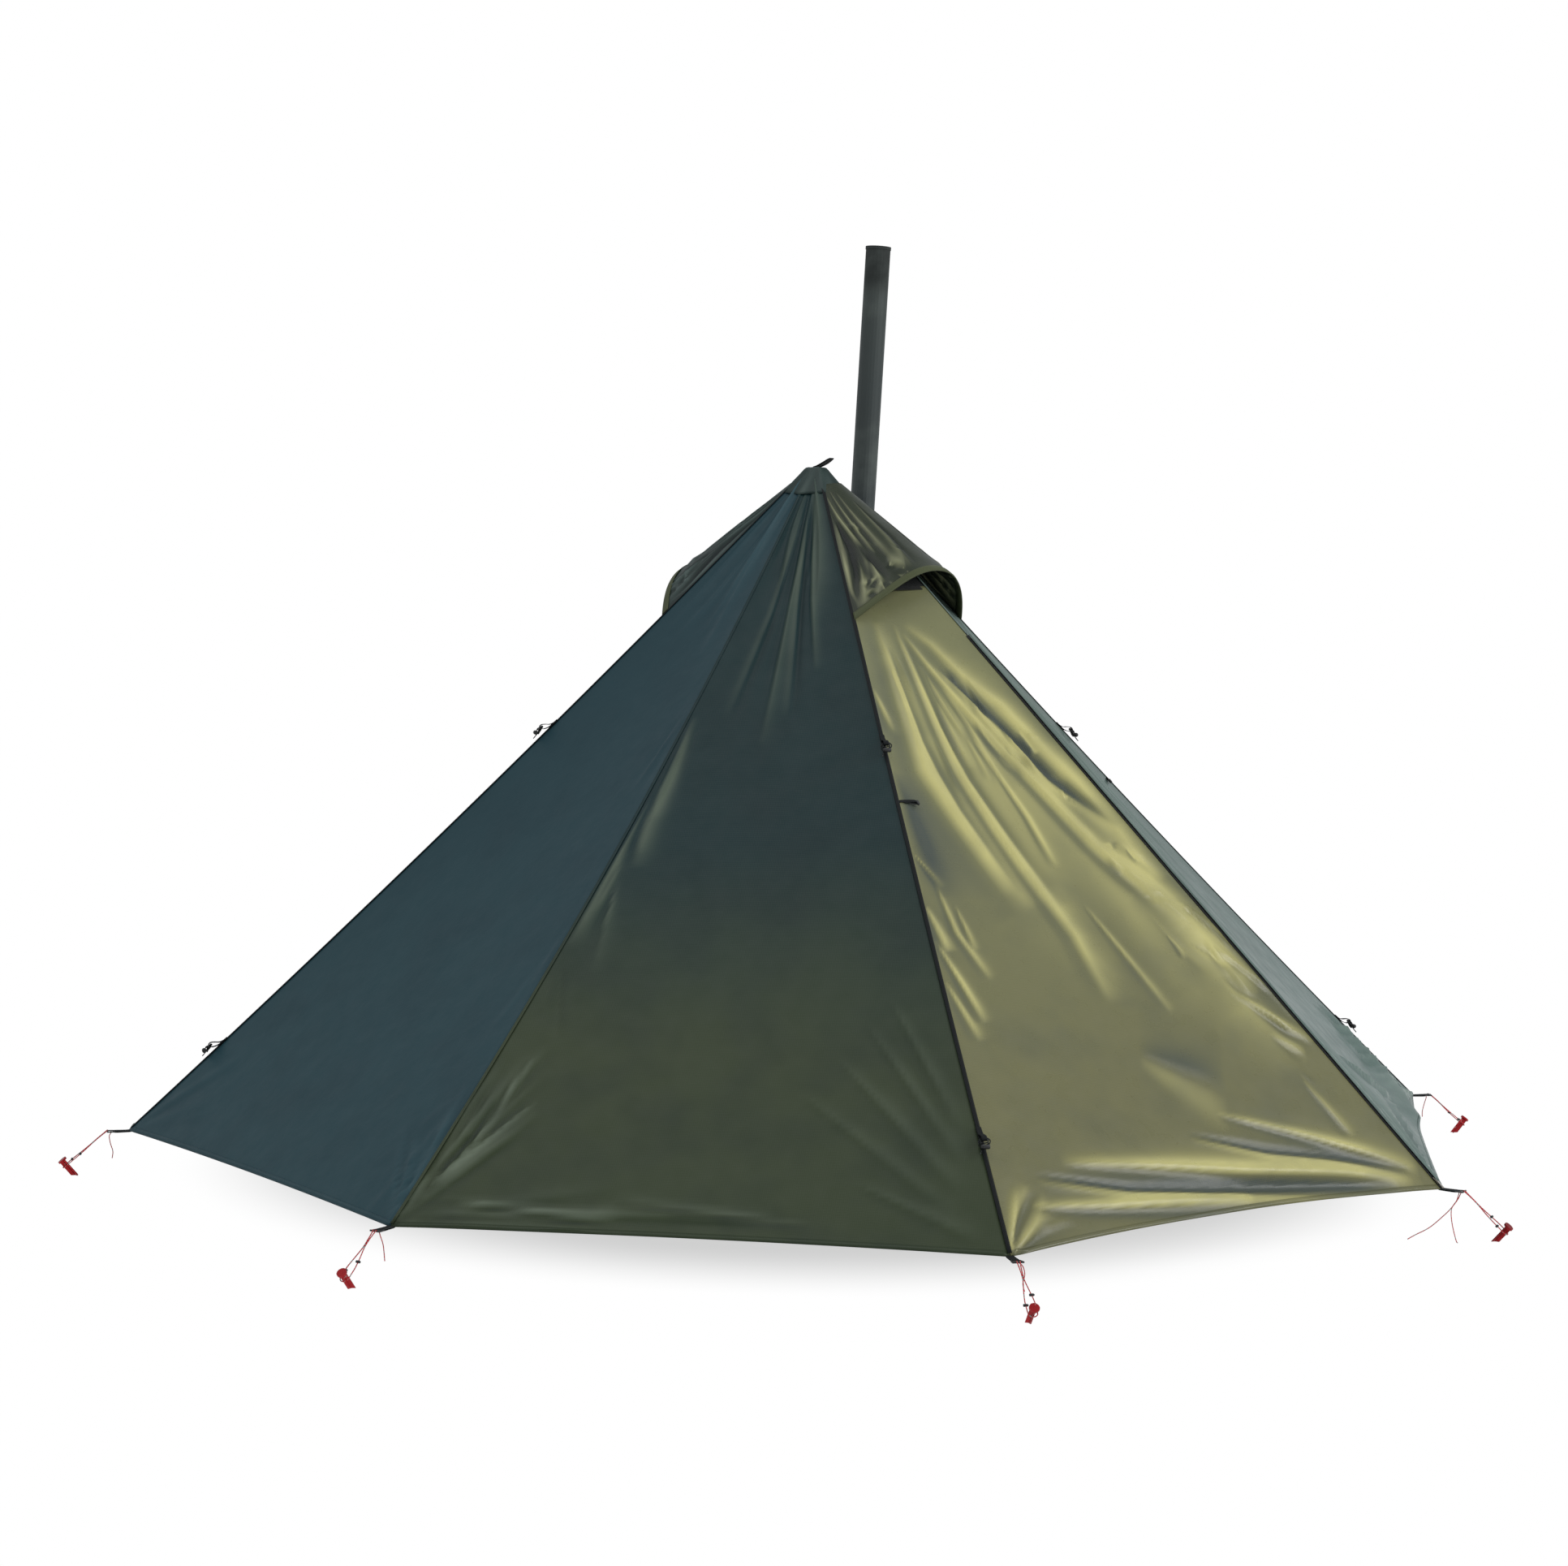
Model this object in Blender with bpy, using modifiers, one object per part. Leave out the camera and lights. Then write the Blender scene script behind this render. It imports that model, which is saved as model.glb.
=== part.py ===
"""Hot tent: a pyramid shelter of eight gores with two hooded doors, a centre pole, pegged corners
and a wood stove whose flue leaves through a heat-proof jack.

Metres, +Z up. The ground is z = 0 and the pole stands on the origin. The front door faces -Y and the
back door +Y. Corners are numbered anticlockwise from the right-hand one, at +X.
"""

import math

import bmesh
import bpy
from mathutils import Matrix, Vector

# Tent cloth
GORES = 8
TENT_RADIUS = 2.06  # pole to a pegged corner
TENT_HEIGHT = 2.155  # ground to the point where the gores' planes meet
HEM_HEIGHT = 0.13  # at the corners, which the cords hold down to their pegs
CLOTH = 0.003
RIDGE_SAG = 0.02  # catenary dip of a taped ridge
SIDE_SAG = 0.065  # catenary dip of the plain seam between two ridges
PANEL_BOW = 0.018
SIDE_HEM_RISE = 0.008
DOOR_HEM_RISE = 0.028
SEAT = 0.0003  # gap between pieces that touch
SEAM_INSET = 0.0013  # taken off each gore's edge, so that the sewn edges of thick cloth clear each other
PEAK_SHARE = 0.03  # where the gores start, down from the peak

# Main folds of the cloth
PLEAT_DEPTH = 0.014
PLEATS = 3
PLEAT_SHARE = 0.17
PLEAT_SPREAD_SHARE = 0.1
PULL_DEPTH = 0.013
PULL_REACH = 0.42
PULLS = 9

# Crown and hang loop
CROWN_SHARE = 0.052
CROWN_ROUND = 0.032  # how far the rounded crown stays under the meeting point
CROWN_ROUND_SHARE = 0.03
LOOP_LENGTH = 0.062
LOOP_HEIGHT = 0.020
LOOP_STRAP = 0.0035
LOOP_WIDTH = 0.012
LOOP_TILT = math.radians(24)
LOOP_BEARING = math.radians(-90)

# Doors
DOOR_TOP_SHARE = 0.25  # head of the zip, down from the peak
DOOR_FOOT_SHARE = 0.985  # where the fixed cloth beside a flap ends
FLAP_TOP_SHARE = 0.015
HINGE_INSET = 0.001
ZIP_WIDTH = 0.010  # from the seam's line to the edge of the flap's cloth
ZIP_GAP = 0.0028
ZIP_BEAD = 0.0025
ZIP_TAPE = 0.0016
ZIP_END = 0.004
SLIDER_LENGTH = 0.022
SLIDER_WIDTH = 0.009
SLIDER_WALL = 0.001
SLIDER_PLATE = 0.002
SLIDER_CLEAR = 0.0004
SLIDER_PARK = 0.012  # from the end of the zip to the parked slider
PULLER_LENGTH = 0.034
PULLER_WIDTH = 0.006
PULLER_SINK = 0.0006

# Hoods and their vents
HOOD_TOP_SHARE = 0.062
HOOD_END_SHARE = 0.235
HOOD_REACH = 0.43  # pole axis to the brim's tip, level
HOOD_DROP = 0.335  # meeting point of the gores to the brim's tip
HOOD_SIDE_LIFT = 0.048
HOOD_CROWN_SHARE = 0.40
BRIM_WIDTH = 0.024
BRIM_TAPE = 0.003
VENT_TOP_SHARE = 0.09
VENT_BOTTOM_SHARE = 0.19
VENT_SIDE_SHARE = 0.3
NET = 0.0015
NET_LAP = 0.008

# Corner tabs, cords and pegs
TAB_LENGTH = 0.040
TAB_LAP = 0.012  # how far it reaches in under the hem
TAB_WIDTH = 0.026
TAB_THICKNESS = 0.0024
TAB_SEAT = 0.0005
BUCKLE_LENGTH = 0.024
BUCKLE_WIDTH = 0.031
BUCKLE_BAR = 0.0055
CORD = 0.003
CORD_ROUND = 0.0124
CORD_FALL = math.radians(40)  # slope of a cord from its buckle down to its peg
CORD_REACH = 0.15  # buckle to the middle of the loop round the peg
PEG_HEIGHT = 0.060  # what stands out of the ground
PEG_ARM = 0.010
PEG_THICKNESS = 0.0026
PEG_LEAN = math.radians(40)
PEG_HEAD = 0.004
PEG_HEAD_REACH = 0.0135
# Along the ground from the buckle, to the side, and up; one strand out to the peg, and its way back
CORD_ROUTE = (
    (0.0012, 0.0075, 0.0000), (0.0300, 0.0095, 0.0020), (0.0650, 0.0130, 0.0000), (0.1050, 0.0155, 0.0010),
    (0.1380, 0.0135, 0.0020),
)

# Pole
FOOT_RADIUS = 0.028
FOOT_HEIGHT = 0.014
POLE_RADIUS = 0.0125
POLE_WALL = 0.0014
UPPER_RADIUS = 0.0108
POLE_JOIN_HEIGHT = 1.06
POLE_LAP = 0.14
TIP_CHAMFER = 0.003
TIP_CLEAR = 0.0019

# Stove, in its own frame: +X away from the pole, the flue's foot over its origin
STOVE_REACH = 0.58  # pole to flue
STOVE_BACK = 0.085
STOVE_FRONT = 0.335
STOVE_WIDTH = 0.230
STOVE_HEIGHT = 0.200
STOVE_FLOOR = 0.195  # ground to the underside of the firebox
STEEL = 0.0016
DOOR_HOLE_WIDTH = 0.150
DOOR_HOLE_HEIGHT = 0.120
DOOR_HOLE_SILL = 0.040
DOOR_LAP = 0.012
DOOR_PLATE = 0.004
DOOR_SEAT = 0.0005
KNUCKLE_RADIUS = 0.0055
KNUCKLE_LENGTH = 0.070
PIN_RADIUS = 0.003
PIN_CLEAR = 0.0003
LUG_HEIGHT = 0.010
LATCH_RADIUS = 0.009
LATCH_LENGTH = 0.045
LATCH_BAR = 0.010
LATCH_SPINDLE = 0.004
CATCH_REACH = 0.015
CATCH_PLATE = 0.003
CATCH_CLEAR = 0.0006
AIR_HOLE_RADIUS = 0.0065
AIR_HOLE_PITCH = 0.028
SHUTTER_WIDTH = 0.060
SHUTTER_HEIGHT = 0.024
SHUTTER_PLATE = 0.002
SHUTTER_KNOB = 0.007
RAIL = 0.004
RAIL_LIP = 0.0016
RAIL_HOLD = 0.002
LEG_RADIUS = 0.004
LEG_INSET = 0.035
LEG_SPLAY = 0.030
LEG_PIVOT_DROP = 0.010
LEG_PIVOT_STEP = 0.011
LEG_NARROWING = 0.016
LEG_EYE = 0.022
LEG_LUG = 0.012
LEG_CLEAR = 0.0003

# Flue, along its own leaning axis
PIPE_RADIUS = 0.040
PIPE_WALL = 0.0008
PIPE_TOP = 2.865  # ground to the rim
PIPE_LEAN = math.radians(2.5)
PIPE_LEAN_BEARING = math.radians(-59.4)
PIPE_RIM = 0.0015
PIPE_RIM_HEIGHT = 0.010
COLLAR_HEIGHT = 0.045
COLLAR_CLEAR = 0.0006
COLLAR_WALL = 0.0025
DAMPER_HEIGHT = 0.16
DAMPER_CLEAR = 0.0018
DAMPER_PLATE = 0.002
SPINDLE_RADIUS = 0.003
SPINDLE_CLEAR = 0.0003
SPINDLE_REACH = 0.030
HANDLE_RADIUS = 0.012
HANDLE_WIRE = 0.0022
JACK_HOLE_RADIUS = 0.085
JACK_WIDTH = 0.25
JACK_LENGTH = 0.29
JACK_CLOTH = 0.002
JACK_CLEAR = 0.0005
JACK_SEAT = 0.0016
CUT_OVERRUN = 0.05

# Divisions of the curved surfaces
ACROSS = 10
DOWN = 14
HEAD_ACROSS = 6
FLAP_DOWN = 11
HOOD_ACROSS = 6
HOOD_DOWN = 6
ROUND = 24
SMALL_ROUND = 12
WELD = 0.00001

CORNERS = ("right", "back_right", "back", "back_left", "left", "front_left", "front", "front_right")
FRONT = CORNERS.index("front")
FRONT_LEFT = CORNERS.index("front_left")
JACK_GORE = 0
CORNER_STEP = math.tau / GORES
STOVE_BEARING = CORNER_STEP / 2
TURNED_DOOR = (("front", 0.0, ("left", "right")), ("back", math.pi, ("right", "left")))


def start_scene():
    """Clears the scene and makes one collection for the tent and one for what cuts it."""
    for item in list(bpy.data.objects):
        bpy.data.objects.remove(item)
    made = []
    for name in ("hot_tent", "cutters"):
        collection = bpy.data.collections.new(name)
        bpy.context.scene.collection.children.link(collection)
        made.append(collection)
    return made


TENT, CUTTERS = start_scene()


def finish(name, colour, roughness, metallic=0.0):
    """A Principled material."""
    material = bpy.data.materials.new(name)
    material.use_nodes = True
    shader = material.node_tree.nodes["Principled BSDF"]
    shader.inputs["Base Color"].default_value = (*colour, 1.0)
    shader.inputs["Roughness"].default_value = roughness
    shader.inputs["Metallic"].default_value = metallic
    return material


def place(name, data, material, parent=None, cutter=False):
    """Puts mesh or curve data in the scene as a named object."""
    thing = bpy.data.objects.new(name, data)
    (CUTTERS if cutter else TENT).objects.link(thing)
    thing.parent = parent
    if material:
        data.materials.append(material)
    if cutter:
        thing.hide_render = True
        thing.display_type = "WIRE"
    return thing


def empty(name, matrix):
    """A frame that pieces are parented to."""
    frame = bpy.data.objects.new(name, None)
    TENT.objects.link(frame)
    frame.matrix_world = matrix
    return frame


def mesh_of(name, build):
    """A mesh made by a function that fills a bmesh."""
    mesh = bpy.data.meshes.new(name)
    work = bmesh.new()
    build(work)
    bmesh.ops.recalc_face_normals(work, faces=work.faces)
    work.to_mesh(mesh)
    work.free()
    return mesh


def smooth(mesh):
    """Shades a round mesh smooth, with its corners kept sharp."""
    mesh.shade_smooth()
    mesh.set_sharp_from_angle(angle=math.radians(35))


def block(name, low, high, material=None, parent=None, cutter=False):
    """A box between two corners."""
    low, high = Vector(low), Vector(high)

    def build(work):
        bmesh.ops.create_cube(work, size=1)
        bmesh.ops.scale(work, vec=high - low, verts=work.verts)
        bmesh.ops.translate(work, vec=(low + high) / 2, verts=work.verts)

    return place(name, mesh_of(name, build), material, parent, cutter)


def rod(name, start, end, radius, material=None, parent=None, cutter=False, sides=ROUND):
    """A round bar between two points."""
    start, end = Vector(start), Vector(end)
    turn = Vector((0, 0, 1)).rotation_difference(end - start).to_matrix().to_4x4()

    def build(work):
        bmesh.ops.create_cone(
            work, cap_ends=True, segments=sides, radius1=radius, radius2=radius, depth=(end - start).length
        )
        bmesh.ops.transform(work, matrix=Matrix.Translation((start + end) / 2) @ turn, verts=work.verts)

    made = place(name, mesh_of(name, build), material, parent, cutter)
    smooth(made.data)
    return made


def turned(name, profile, material, parent=None, steps=ROUND):
    """A solid turned round Z from (radius, height) points that run down the outside, top to bottom."""
    mesh = bpy.data.meshes.new(name)
    points = [(radius, 0, height) for radius, height in profile]
    ring = profile[0][0] > 0
    count = len(points)
    edges = [(i, (i + 1) % count) for i in range(count if ring else count - 1)]
    mesh.from_pydata(points, edges, [])
    made = place(name, mesh, material, parent)
    spin = made.modifiers.new("turn", "SCREW")
    spin.steps = spin.render_steps = steps
    spin.use_merge_vertices = True
    spin.merge_threshold = WELD
    spin.use_smooth_shade = True
    return made


def flat_shape(name, outlines, depth, material, parent=None):
    """A plate of the given outline, its holes the outlines after the first, centred on its own plane."""
    curve = bpy.data.curves.new(name, "CURVE")
    curve.dimensions = "2D"
    curve.fill_mode = "BOTH"
    curve.extrude = depth / 2
    for outline in outlines:
        spline = curve.splines.new("POLY")
        spline.points.add(len(outline) - 1)
        spline.use_cyclic_u = True
        for point, (x, y) in zip(spline.points, outline):
            point.co = (x, y, 0, 1)
    return place(name, curve, material, parent)


def tube(name, points, radius, material, parent=None, closed=False):
    """A round wire or cord along a run of points."""
    curve = bpy.data.curves.new(name, "CURVE")
    curve.dimensions = "3D"
    curve.bevel_depth = radius
    curve.bevel_resolution = 2
    curve.use_fill_caps = True
    spline = curve.splines.new("POLY")
    spline.points.add(len(points) - 1)
    spline.use_cyclic_u = closed
    for point, at in zip(spline.points, points):
        point.co = (*at, 1)
    return place(name, curve, material, parent)


def as_mesh(thing):
    """Turns a curve object into a mesh object, its caps welded, so that it can be cut or joined."""
    mesh = bpy.data.meshes.new_from_object(thing.evaluated_get(bpy.context.evaluated_depsgraph_get()))
    work = bmesh.new()
    work.from_mesh(mesh)
    bmesh.ops.remove_doubles(work, verts=work.verts, dist=WELD)
    work.to_mesh(mesh)
    work.free()
    name, parent, matrix = thing.name, thing.parent, thing.matrix_basis.copy()
    cutter = thing.hide_render
    bpy.data.objects.remove(thing)
    mesh.name = name
    made = place(name, mesh, None, parent, cutter)
    made.matrix_basis = matrix
    return made


def combine(target, operation, *others):
    """Cuts helpers out of an object, or joins them to it."""
    for other in others:
        step = target.modifiers.new(other.name, "BOOLEAN")
        step.operation = operation
        step.solver = "EXACT"
        step.object = other
    return target


def thicken(thing, thickness):
    """Gives a sheet its thickness, half to each side."""
    shell = thing.modifiers.new("cloth", "SOLIDIFY")
    shell.thickness = thickness
    shell.offset = 0
    return thing


def mirrored(thing):
    """Adds the other half across the plane x = 0."""
    half = thing.modifiers.new("other half", "MIRROR")
    half.merge_threshold = WELD
    return thing


def loft(work, rows, keep=None):
    """Faces between neighbouring rows of points, all rows with as many points."""
    grid = [[work.verts.new(point) for point in row] for row in rows]
    for i in range(len(grid) - 1):
        for j in range(len(grid[i]) - 1):
            if keep is None or keep(i, j):
                work.faces.new((grid[i][j], grid[i][j + 1], grid[i + 1][j + 1], grid[i + 1][j]))


def sheet(name, rows, thickness, material, parent=None, keep=None):
    """Cloth through rows of points."""

    def build(work):
        loft(work, rows, keep)
        loose = [vert for vert in work.verts if not vert.link_faces]
        bmesh.ops.delete(work, geom=loose, context="VERTS")

    made = place(name, mesh_of(name, build), material, parent)
    smooth(made.data)
    return thicken(made, thickness)


def shares(count, start=0.0, end=1.0):
    """Even steps from start to end."""
    return [start + (end - start) * i / count for i in range(count + 1)]


def arched(share):
    """Nothing at both ends of a span and 1 in the middle."""
    return 4 * share * (1 - share)


def corner_angle(corner):
    return corner * CORNER_STEP


def seam_sag(corner):
    """Zip seams are pulled straight, and the others dip."""
    if corner % GORES in (FRONT, CORNERS.index("back")):
        return 0.0
    return RIDGE_SAG if corner % 2 else SIDE_SAG


SEAM_FALL = TENT_HEIGHT - HEM_HEIGHT
SEAM_LENGTH = math.hypot(TENT_RADIUS, SEAM_FALL)
APOTHEM = TENT_RADIUS * math.cos(CORNER_STEP / 2)
STEEPNESS = math.hypot(APOTHEM, SEAM_FALL) / APOTHEM  # height of a step square to a gore, over the step


def seam_point(corner, down):
    """A point on a seam, a share of the way down from the peak."""
    dip = seam_sag(corner) * arched(down)
    reach = TENT_RADIUS * down - dip * SEAM_FALL / SEAM_LENGTH
    height = TENT_HEIGHT - SEAM_FALL * down - dip * TENT_RADIUS / SEAM_LENGTH
    angle = corner_angle(corner)
    return Vector((reach * math.cos(angle), reach * math.sin(angle), height))


def gore_normal(gore):
    """Which way the flat of a gore faces, outwards."""
    peak, first, second = seam_point(gore, 0), seam_point(gore, 1), seam_point(gore + 1, 1)
    return (first - peak).cross(second - peak).normalized()


def folds(across, down, width, length):
    """How deep the cloth's main folds lie: pleats below the crown, and pulls towards the pegged corners."""
    pleat = (1 + math.cos(math.tau * PLEATS * across)) / 2
    depth = PLEAT_DEPTH * pleat * math.exp(-(((down - PLEAT_SHARE) / PLEAT_SPREAD_SHARE) ** 2))
    for side in (across, 1 - across):
        x, y = side * width, (1 - down) * length
        pull = (1 + math.cos(PULLS * math.atan2(y, x + WELD))) / 2
        depth += PULL_DEPTH * pull * math.exp(-math.hypot(x, y) / PULL_REACH)
    return depth * arched(across)


def between(first, second, across, inset_first, inset_second):
    """A point across a span, its ends drawn in."""
    width = (second - first).length
    start, end = inset_first / width, 1 - inset_second / width
    return first.lerp(second, start + (end - start) * across), width


def gore_point(gore, across, down, offset=0.0, rise=SIDE_HEM_RISE):
    """A point on a side gore; offset is outwards from the middle of its cloth."""
    at, width = between(seam_point(gore, down), seam_point(gore + 1, down), across, SEAM_INSET, SEAM_INSET)
    bow = PANEL_BOW * arched(across) * arched(down)
    lift = (seam_point(gore, 0) - seam_point(gore, 1)).normalized() * rise * arched(across) * down**6
    return at + lift + gore_normal(gore) * (offset - bow - folds(across, down, width, SEAM_LENGTH))


def panel_point(gore, across, down, offset):
    """A point over the flat facet that a side gore's cloth has there."""
    step_u, step_v = 1 / ACROSS, (1 - PEAK_SHARE) / DOWN
    column = min(int(across / step_u), ACROSS - 1)
    row = min(int((down - PEAK_SHARE) / step_v), DOWN - 1)
    part_u, part_v = across / step_u - column, (down - PEAK_SHARE) / step_v - row
    lines = []
    for line in (row, row + 1):
        ends = [gore_point(gore, (column + side) * step_u, PEAK_SHARE + line * step_v, offset) for side in (0, 1)]
        lines.append(ends[0].lerp(ends[1], part_u))
    return lines[0].lerp(lines[1], part_v)


def cuts(start, end, lines):
    """The start, the lines that lie between, and the end."""
    return [start, *[line for line in lines if start < line < end], end]


HINGE_TOP = seam_point(FRONT, DOOR_TOP_SHARE)
HINGE_FOOT = seam_point(FRONT_LEFT, 1)
DOOR_FOOT = seam_point(FRONT, 1)
DOOR_NORMAL = gore_normal(FRONT_LEFT)
ZIP_LINE = (HINGE_TOP - DOOR_FOOT).normalized()
ZIP_INSET = ZIP_WIDTH / ZIP_LINE.cross((HINGE_FOOT - DOOR_FOOT).normalized()).length


def head_point(across, down, offset=0.0):
    """A point on the fixed cloth of the front door's left gore, from the ridge to the zip seam or the fold."""
    first = seam_point(FRONT_LEFT, down)
    if down <= DOOR_TOP_SHARE:
        second, inset = seam_point(FRONT, down), 0.0
    else:
        second = HINGE_TOP.lerp(HINGE_FOOT, (down - DOOR_TOP_SHARE) / (1 - DOOR_TOP_SHARE))
        inset = HINGE_INSET
    at, _ = between(first, second, across, SEAM_INSET, inset)
    return at + DOOR_NORMAL * offset


def flap_point(across, down):
    """A point on the front left door flap, from its fold to its zip, down from the head of the zip."""
    first, second = HINGE_TOP.lerp(HINGE_FOOT, down), HINGE_TOP.lerp(DOOR_FOOT, down)
    at, width = between(first, second, across, HINGE_INSET, ZIP_INSET)
    lift = ZIP_LINE * DOOR_HEM_RISE * arched(across) * down**6
    bow = PANEL_BOW * arched(across) * arched(down)
    creases = folds(across, down, width, SEAM_LENGTH) * down
    return at + lift - DOOR_NORMAL * (bow + creases)


def side_panels(cloth):
    """The four gores beside the doors; the one behind the stove has the jack's hole."""
    names = {
        JACK_GORE: "side_panel_right_back",
        CORNERS.index("back_left"): "side_panel_left_back",
        CORNERS.index("left"): "side_panel_left_front",
        CORNERS.index("front_right"): "side_panel_right_front",
    }
    made = {}
    for gore, name in names.items():
        rows = [[gore_point(gore, u, v) for u in shares(ACROSS)] for v in shares(DOWN, PEAK_SHARE)]
        made[gore] = sheet(name, rows, CLOTH, cloth)
    return made


def turned_copy(thing, name, angle):
    """The same piece at the other door, turned about the pole."""
    other = thing.copy()
    other.name = name
    TENT.objects.link(other)
    other.matrix_world = Matrix.Rotation(angle, 4, "Z") @ thing.matrix_world
    return other


def door_heads(cloth):
    """The fixed cloth over and beside the flaps, with the vent's window in it."""
    over = shares(HEAD_ACROSS, PEAK_SHARE, VENT_TOP_SHARE)[::3]
    window = shares(2, VENT_TOP_SHARE, VENT_BOTTOM_SHARE)
    upper = over[:-1] + window + [DOOR_TOP_SHARE]
    lower = shares(DOWN - len(upper), DOOR_TOP_SHARE, DOOR_FOOT_SHARE)
    downs = upper + lower[1:]
    acrosses = [0.0, VENT_SIDE_SHARE] + shares(HEAD_ACROSS - 2, VENT_SIDE_SHARE)[1:]
    rows = [[head_point(u, v) for u in acrosses] for v in downs]

    def keep(i, j):
        in_window = VENT_TOP_SHARE <= (downs[i] + downs[i + 1]) / 2 <= VENT_BOTTOM_SHARE
        return not (in_window and acrosses[j] >= VENT_SIDE_SHARE)

    head = place("door_head_front", mesh_of("door_head", lambda work: loft(work, rows, keep)), cloth)
    mirrored(head)
    thicken(head, CLOTH)
    turned_copy(head, "door_head_back", math.pi)


def vent_nets(net):
    """A net behind each window, lapped over its edge."""
    lap = NET_LAP / SEAM_LENGTH
    side = VENT_SIDE_SHARE - lap / VENT_TOP_SHARE
    depth = -(CLOTH / 2 + SEAT + NET / 2)
    downs = shares(3, VENT_TOP_SHARE - lap, VENT_BOTTOM_SHARE + lap)
    rows = [[head_point(u, v, depth) for u in shares(2, side)] for v in downs]
    for row in rows:
        row[-1].x = 0
    mesh = mesh_of("vent_net", lambda work: loft(work, rows))
    front = place("vent_net_front", mesh, net)
    mirrored(front)
    thicken(front, NET)
    turned_copy(front, "vent_net_back", math.pi)


def hinge_frame(side):
    """The fold of a front flap: its Z runs from the pegged corner up to the head of the zip."""
    foot, top = HINGE_FOOT.copy(), HINGE_TOP.copy()
    foot.x *= -side
    top.x *= -side
    out = DOOR_NORMAL.copy()
    out.x *= -side
    up = (top - foot).normalized()
    lift = out * (CLOTH / 2 + HINGE_INSET / 2)
    turn = Matrix((out, up.cross(out), up)).transposed().to_4x4()
    return Matrix.Translation(foot + lift) @ turn


def zip_frame(side):
    """The seam's line at the foot of a zip: X into the left or right gore, Y out of it, Z up the seam."""
    out = DOOR_NORMAL.copy()
    out.x *= -side
    up = (HINGE_TOP - DOOR_FOOT).normalized()
    into = out.cross(up) * -side
    return Matrix.Translation(DOOR_FOOT) @ Matrix((into, out, up)).transposed().to_4x4()


def bead_outline():
    """Cross-section of a zip half: the row of teeth as a bead, on its tape."""
    centre = ZIP_GAP / 2 + ZIP_BEAD
    start = math.asin(ZIP_TAPE / 2 / ZIP_BEAD)
    arc = shares(SMALL_ROUND - 2, start, math.tau - start)
    outline = [(centre + ZIP_BEAD * math.cos(a), ZIP_BEAD * math.sin(a)) for a in arc]
    end = ZIP_WIDTH - SEAT
    return outline + [(end, -ZIP_TAPE / 2), (end, ZIP_TAPE / 2)]


def slider_outline():
    """Cross-section of a slider: a channel round one bead, open towards its tape."""
    inner = ZIP_BEAD + SLIDER_CLEAR
    outer = inner + SLIDER_PLATE
    wall = ZIP_GAP / 2 - SLIDER_CLEAR
    back = wall - SLIDER_WALL
    return [
        (back, -outer), (SLIDER_WIDTH, -outer), (SLIDER_WIDTH, -inner), (wall, -inner),
        (wall, inner), (SLIDER_WIDTH, inner), (SLIDER_WIDTH, outer), (back, outer),
    ]


def hung(thing, frame, matrix):
    """Parents a piece to a frame and leaves it where the matrix puts it."""
    thing.parent = frame
    thing.matrix_basis = frame.matrix_world.inverted() @ matrix


def doors(cloth, tape, metal):
    """Two flaps to a door, each on its fold, with a zip half on its free edge, and a slider on the left one."""
    length = (HINGE_TOP - DOOR_FOOT).length
    rows = [[flap_point(u, v) for u in shares(ACROSS)] for v in shares(FLAP_DOWN, FLAP_TOP_SHARE)]
    run = length * (1 - FLAP_TOP_SHARE) - ZIP_END
    for door, angle, side_names in TURNED_DOOR:
        spin = Matrix.Rotation(angle, 4, "Z")
        for side_name, side in zip(side_names, (-1, 1)):
            place_name = f"{door}_{side_name}"
            fold = empty(f"fold_{place_name}", spin @ hinge_frame(side))
            points = [[Vector((-side * p.x, p.y, p.z)) for p in row] for row in rows]
            flap = sheet(f"door_flap_{place_name}", points, CLOTH, cloth)
            hung(flap, fold, spin)
            half = flat_shape(f"zip_half_{place_name}", [bead_outline()], run, tape)
            zip_at = spin @ zip_frame(side) @ Matrix.Translation((0, 0, ZIP_END + run / 2))
            flip = Matrix.Scale(-side, 4, (1, 0, 0)) if side > 0 else Matrix.Identity(4)
            hung(half, fold, zip_at @ flip @ Matrix.Scale(-side, 4, (1, 0, 0)) if side > 0 else zip_at)
            if side < 0:
                slider = as_mesh(flat_shape(f"zip_slider_{door}", [slider_outline()], SLIDER_LENGTH, metal))
                top = ZIP_BEAD + SLIDER_CLEAR + SLIDER_PLATE
                middle = SLIDER_WIDTH / 2
                tab = block(
                    f"puller_{door}",
                    (middle - PULLER_WIDTH / 2, top - PULLER_SINK, SLIDER_LENGTH / 4 - PULLER_LENGTH),
                    (middle + PULLER_WIDTH / 2, top + SLIDER_PLATE, SLIDER_LENGTH / 4),
                    cutter=True,
                )
                rest = ZIP_END + SLIDER_PARK + SLIDER_LENGTH / 2
                at = spin @ zip_frame(side) @ Matrix.Translation((0, 0, rest))
                hung(slider, fold, at)
                tab.matrix_world = at
                combine(slider, "UNION", tab)


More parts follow.
